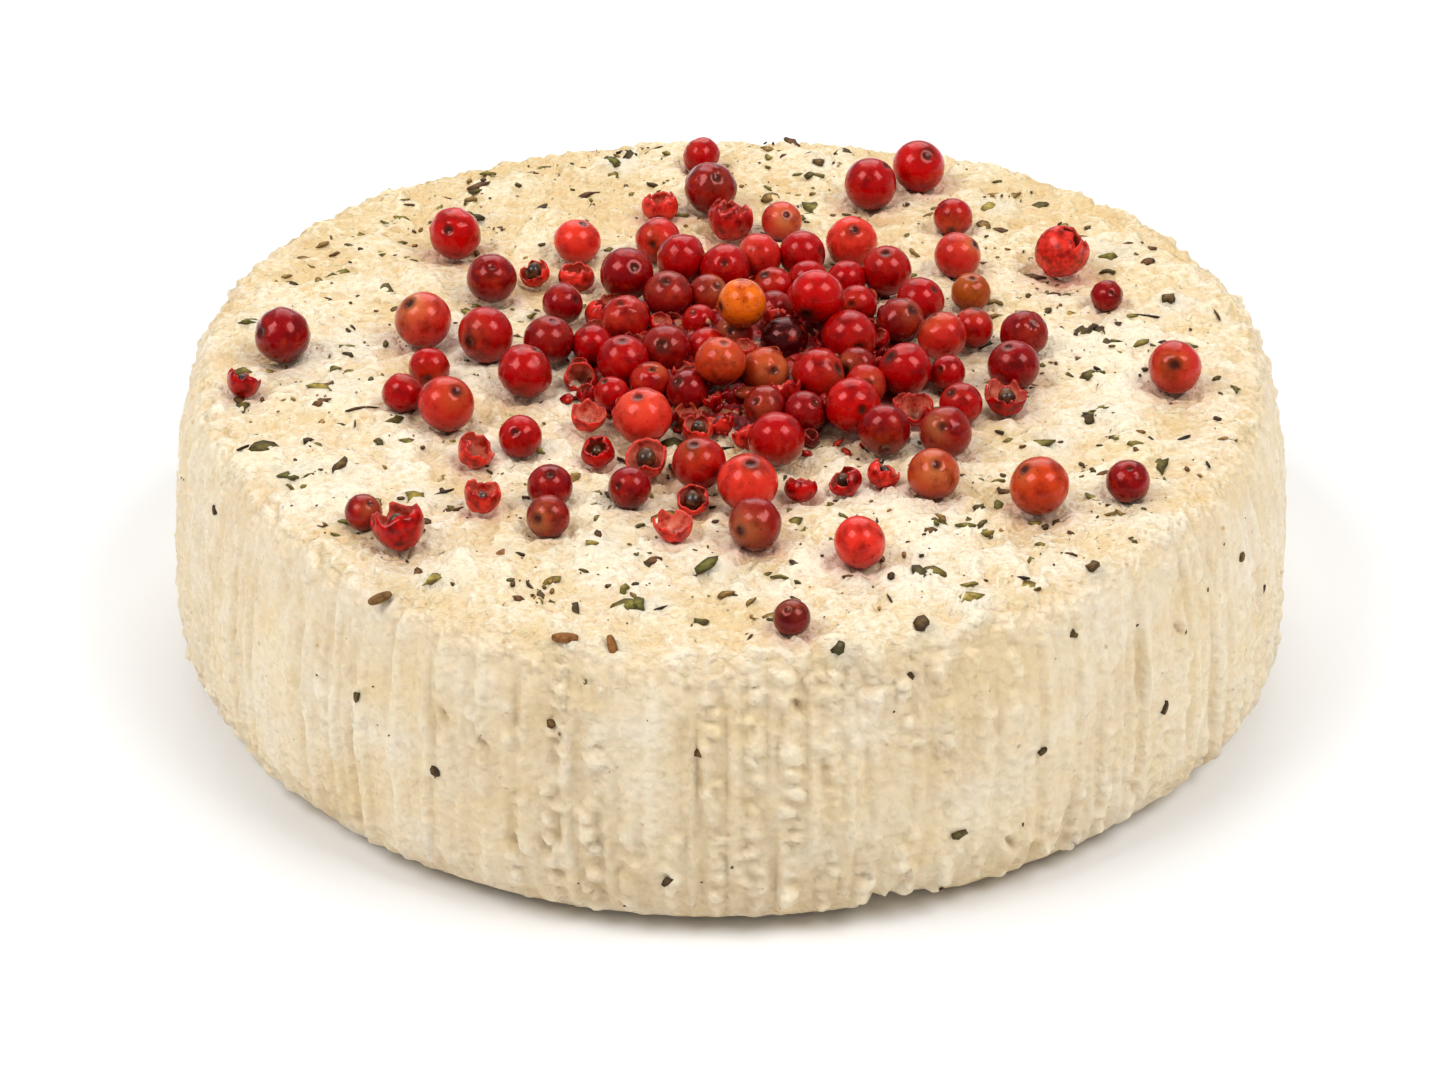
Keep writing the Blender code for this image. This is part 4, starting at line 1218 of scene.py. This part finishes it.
# %% [markdown]
# ## Herbs in the curd
#
# Three kinds show: brown ribbed seeds, dark flakes, and olive bits of leaf. The larger ones have the
# same places as in the solid model. Around them lie leaf crumbs, bits of twig and over a thousand
# specks, down to dust, thickest in patches. They are laid on the worked-out surface, half sunk in it.

# %% Herbs
def herb_material():
    """Dried herb: each bit's own brown or olive, streaked and dull."""
    material, add, shader, here = new_material("dried_herb")
    tint = add("Attribute", {"attribute_name": "tint"}, {}, "Color")
    streak = add("TexNoise", {"Scale": 1 / (0.5 * MM), "Detail": 3.0}, {"Vector": here})
    streak_share = add("MapRange", {"From Min": 0.4, "From Max": 0.65}, {0: streak})
    streaked = add("Mix", {"blend_type": "MULTIPLY", 7: "#C0A878"}, {0: streak_share, 6: tint})
    bump = add("Bump", {"Strength": 0.5, "Distance": 0.08 * MM}, {"Height": streak})
    fill(shader, {"Roughness": 0.65, "Specular IOR Level": 0.3}, {"Base Color": streaked, "Normal": bump})
    return material


herb = herb_material()
HERB_SEED_RINGS = 9
HERB_SEED_SIDES = 20


def seeds(name, spots, half_long, half_wide, tint, seed):
    """One mesh of ribbed seeds: balls stretched along one lying axis, with five shallow ribs."""
    draw = np.random.default_rng(seed)
    directions, polar = ball_directions(HERB_SEED_RINGS, HERB_SEED_SIDES)
    count = len(spots)
    ribs = 1 + 0.06 * np.cos(5 * np.arctan2(directions[:, 1], directions[:, 0]))
    blunt = ribs / np.clip(np.sin(polar), 0.2, 1) ** 0.35
    body = directions * np.column_stack([blunt, blunt, np.ones(len(polar))])
    body = np.repeat(body[None] * [half_wide, 0.8 * half_wide, half_long], count, axis=0)
    poles = np.column_stack([share * draw.normal(size=count) for share in (1, 0.5, 0.1)])
    matrices = turns(poles, draw.uniform(0, 0.3, count))
    points = (np.einsum("nij,nkj->nki", matrices, body) + spots[:, None, :]).reshape(-1, 3)
    colours = np.broadcast_to(tint[:, None, :], (count, len(directions), 4)).reshape(-1, 4)
    faces = repeated(ball_faces(HERB_SEED_RINGS, HERB_SEED_SIDES), len(directions), count)
    return new_piece(name, points, faces, herb, {"tint": colours})


def on_top(places, lift):
    """Spots on the top at places in whole millimetres, raised by a lift."""
    flat = np.array(places, dtype=float) * MM
    return np.column_stack([flat, top_height(flat[:, 0], flat[:, 1]) + lift])


def picked(colours, count, seed):
    """A random choice among hex colours for each of a count of bits."""
    table = np.array([hex_colour(code) for code in colours])
    return table[np.random.default_rng(seed).integers(0, len(colours), count)]


herb_draw = np.random.default_rng(139)


def herb_chips(name, spots, normals, long, wide, thick, bend, colours, seed, sides, bites):
    """Chips of herb whose half lengths, half widths and bends are drawn from ranges, in that order."""
    count = len(spots)
    half_long = herb_draw.uniform(*long, count) * MM
    half_wide = herb_draw.uniform(*wide, count) * MM
    return chips(name, spots, normals, half_long, half_wide, np.full(count, thick * MM),
                 herb_draw.uniform(*bend, count), picked(colours, count, seed - 2), herb, seed, sides, bites)


seed_count, dark_count, leaf_count = (len(FLAKES[kind]) for kind in ("seed", "dark", "leaf"))
herb_seeds = seeds("herb_seeds", on_top(FLAKES["seed"], -0.2 * MM), 1.15 * MM, 0.5 * MM,
                   picked(["#A87838", "#7A5628", "#946230"], seed_count, 141), 143)
dark_flakes = herb_chips("herb_dark", on_top(FLAKES["dark"], 0.08 * MM), leaning(dark_count, 0.15, 145),
                         (0.8, 1.25), (0.5, 0.75), 0.4, (0, 0.2),
                         ["#6E5226", "#7A5C24", "#5E5426"], 149, 9, 0.45)
leaf_bits = herb_chips("herb_leaf", on_top(FLAKES["leaf"], 0.05 * MM), leaning(leaf_count, 0.15, 151),
                       (1.0, 1.6), (0.5, 0.8), 0.25, (0, 0.3),
                       ["#A8963A", "#8E8430", "#BCA850", "#78742A"], 155, 9, 0.45)
side_bearings = np.radians([bearing for bearing, _ in SIDE_FLAKES])
side_heights = np.array([height for _, height in SIDE_FLAKES]) * MM
side_bits = herb_chips("herb_side", *side_places(side_bearings, side_heights), (0.4, 0.65), (0.35, 0.5), 0.4,
                       (0, 0.2), ["#5E4620", "#84622C", "#6C5E28"], 159, 8, 0.4)

# %% More leaf, flake and twig
LEAF_CRUMBS = 560
TWIGS = 70
HERB_REACH = 47.5 * MM


def strewn(count, seed):
    """Random places on the top, thickest in patches, none under a peppercorn."""
    draw = np.random.default_rng(seed)
    reach = HERB_REACH * np.sqrt(draw.random(count))
    bearing = draw.uniform(0, 2 * math.pi, count)
    x, y = round_about(reach, bearing)
    cluster = layered_noise(np.column_stack([x, y]), 9 * MM, 167)
    covered = (np.hypot(x[:, None] - place[:, 0], y[:, None] - place[:, 1]) < 0.7 * radius).any(axis=1)
    kept = (cluster > draw.uniform(-0.9, 0.25, count)) & ~covered
    return np.column_stack([x, y, top_height(x, y)])[kept]


leaf_spots = strewn(LEAF_CRUMBS, 191)
leaf_spots[:, 2] -= 0.02 * MM
crumb_count = len(leaf_spots)
crumb_size = herb_draw.uniform(0.4, 0.8, crumb_count) * MM + 1.0 * MM * herb_draw.random(crumb_count) ** 3
CRUMB_COLOURS = ["#8C8030", "#A3923C", "#6E6226", "#7C5226", "#5A4620", "#B08C46"]
leaf_crumbs = chips("herb_crumbs", leaf_spots, leaning(crumb_count, 0.18, 193), crumb_size,
                    crumb_size * herb_draw.uniform(0.3, 0.7, crumb_count), np.full(crumb_count, 0.2 * MM),
                    herb_draw.uniform(0, 0.35, crumb_count), picked(CRUMB_COLOURS, crumb_count, 195),
                    herb, 197, 9, 0.35)
twig_spots = strewn(TWIGS, 199)
twigs = herb_chips("herb_twigs", twig_spots, leaning(len(twig_spots), 0.08, 201), (0.7, 1.5), (0.1, 0.18),
                   0.2, (0, 0.15), ["#4A3010", "#6A4A1C", "#3A2A10"], 205, 10, 0.3)

# %% Specks
TOP_SPECKS = 1300
SIDE_SPECKS = 130
SPECK_COLOURS = ["#6E4A22", "#543C18", "#9A6C2C", "#847030", "#B88C44", "#746426"]


def specks():
    """Places, outward directions and sizes of the specks of top and side; small ones are commonest."""
    draw = np.random.default_rng(163)
    reach = HERB_REACH * np.sqrt(draw.random(TOP_SPECKS))
    bearing = draw.uniform(0, 2 * math.pi, TOP_SPECKS)
    x, y = round_about(reach, bearing)
    cluster = layered_noise(np.column_stack([x, y]), 7 * MM, 167)
    kept = cluster > draw.uniform(-0.7, 0.35, TOP_SPECKS)
    on_disc = np.column_stack([x, y, top_height(x, y)])[kept]
    bearings = draw.uniform(0, 2 * math.pi, SIDE_SPECKS)
    heights = draw.uniform(2 * MM, HEIGHT - 2.5 * MM, SIDE_SPECKS)
    on_wall, wall_normals = side_places(bearings, heights)
    spots = np.vstack([on_disc, on_wall])
    normals = np.vstack([leaning(len(on_disc), 0.2, 169), wall_normals])
    size = (0.11 + 0.36 * draw.random(len(spots)) ** 3) * MM
    size[len(on_disc):] *= 0.6
    return spots, normals, size


speck_spots, speck_normals, speck_size = specks()
speck_count = len(speck_spots)
dust = chips("herb_specks", speck_spots, speck_normals, speck_size,
             speck_size * herb_draw.uniform(0.3, 0.8, speck_count), 0.6 * speck_size, np.zeros(speck_count),
             picked(SPECK_COLOURS, speck_count, 171), herb, 173, 6, 0.2)
for bits in (herb_seeds, dark_flakes, leaf_bits, side_bits, leaf_crumbs, twigs, dust):
    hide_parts("cheese_wheel")

# %% [markdown]
# ## Floor, light and camera
#
# A pale table in a light tent: two small softboxes hang high left and right, a little in front of the
# wheel, and give each peppercorn its pair of highlights. A wider and weaker one stands behind, so that
# a thin shadow falls to the front, and a bright room fills the rest. The camera looks down at 31
# degrees through a 103 mm lens.

# %% The floor
def floor_material():
    """White matt paper, so that only the contact shadow shows."""
    material, _, shader, _ = new_material("white_paper")
    fill(shader, {"Base Color": "#EEEEEE", "Roughness": 0.9, "Specular IOR Level": 0.1}, {})
    return material


floor_mesh = bpy.data.meshes.new("floor")
FLOOR_HALF = 6.0
corners = [(x * FLOOR_HALF, y * FLOOR_HALF, 0) for x, y in ((-1, -1), (1, -1), (1, 1), (-1, 1))]
floor_mesh.from_pydata(corners, [], [(0, 1, 2, 3)])
floor_mesh.materials.append(floor_material())
floor = bpy.data.objects.new("floor", floor_mesh)
bpy.context.scene.collection.objects.link(floor)

# %% The light
SOFTBOX_DISTANCE = 2.0
ROOM_LIGHT = 0.33


def softbox(name, direction, size, watts):
    """A square area light of a size in metres, at a direction from the wheel and facing it."""
    light = bpy.data.lights.new(name, "AREA")
    light.shape = "SQUARE"
    light.size = size
    light.energy = watts
    lamp = bpy.data.objects.new(name, light)
    bpy.context.scene.collection.objects.link(lamp)
    way = np.array(direction) / np.linalg.norm(direction)
    lamp.location = way * SOFTBOX_DISTANCE
    lamp.rotation_mode = "QUATERNION"
    lamp.rotation_quaternion = Vector(-way).to_track_quat("-Z", "Y")


softbox("softbox_left", (-0.56, -0.24, 0.80), 0.95, 23.0)
softbox("softbox_right", (0.53, -0.24, 0.82), 0.95, 23.0)
softbox("softbox_behind", (0.0, 0.8, 0.75), 1.6, 18.0)
world = bpy.data.worlds.new("bright_room")
world.use_nodes = True
fill(world.node_tree.nodes["Background"], {"Color": "#FFFFFF", "Strength": ROOM_LIGHT}, {})
bpy.context.scene.world = world
bpy.context.scene.view_settings.view_transform = "Standard"

# %% The camera
ELEVATION = math.radians(31.07)
LENS_DISTANCE = 399 * MM
TARGET = np.array([-0.67, 0.0, 8.9]) * MM
camera_data = bpy.data.cameras.new("camera")
camera_data.lens = 103.2
camera_data.sensor_width = 36.0
camera_data.clip_start = 0.01
camera = bpy.data.objects.new("camera", camera_data)
bpy.context.scene.collection.objects.link(camera)
camera.location = TARGET + LENS_DISTANCE * np.array([0, -math.cos(ELEVATION), math.sin(ELEVATION)])
camera.rotation_euler = (math.pi / 2 - ELEVATION, 0, 0)
bpy.context.scene.camera = camera
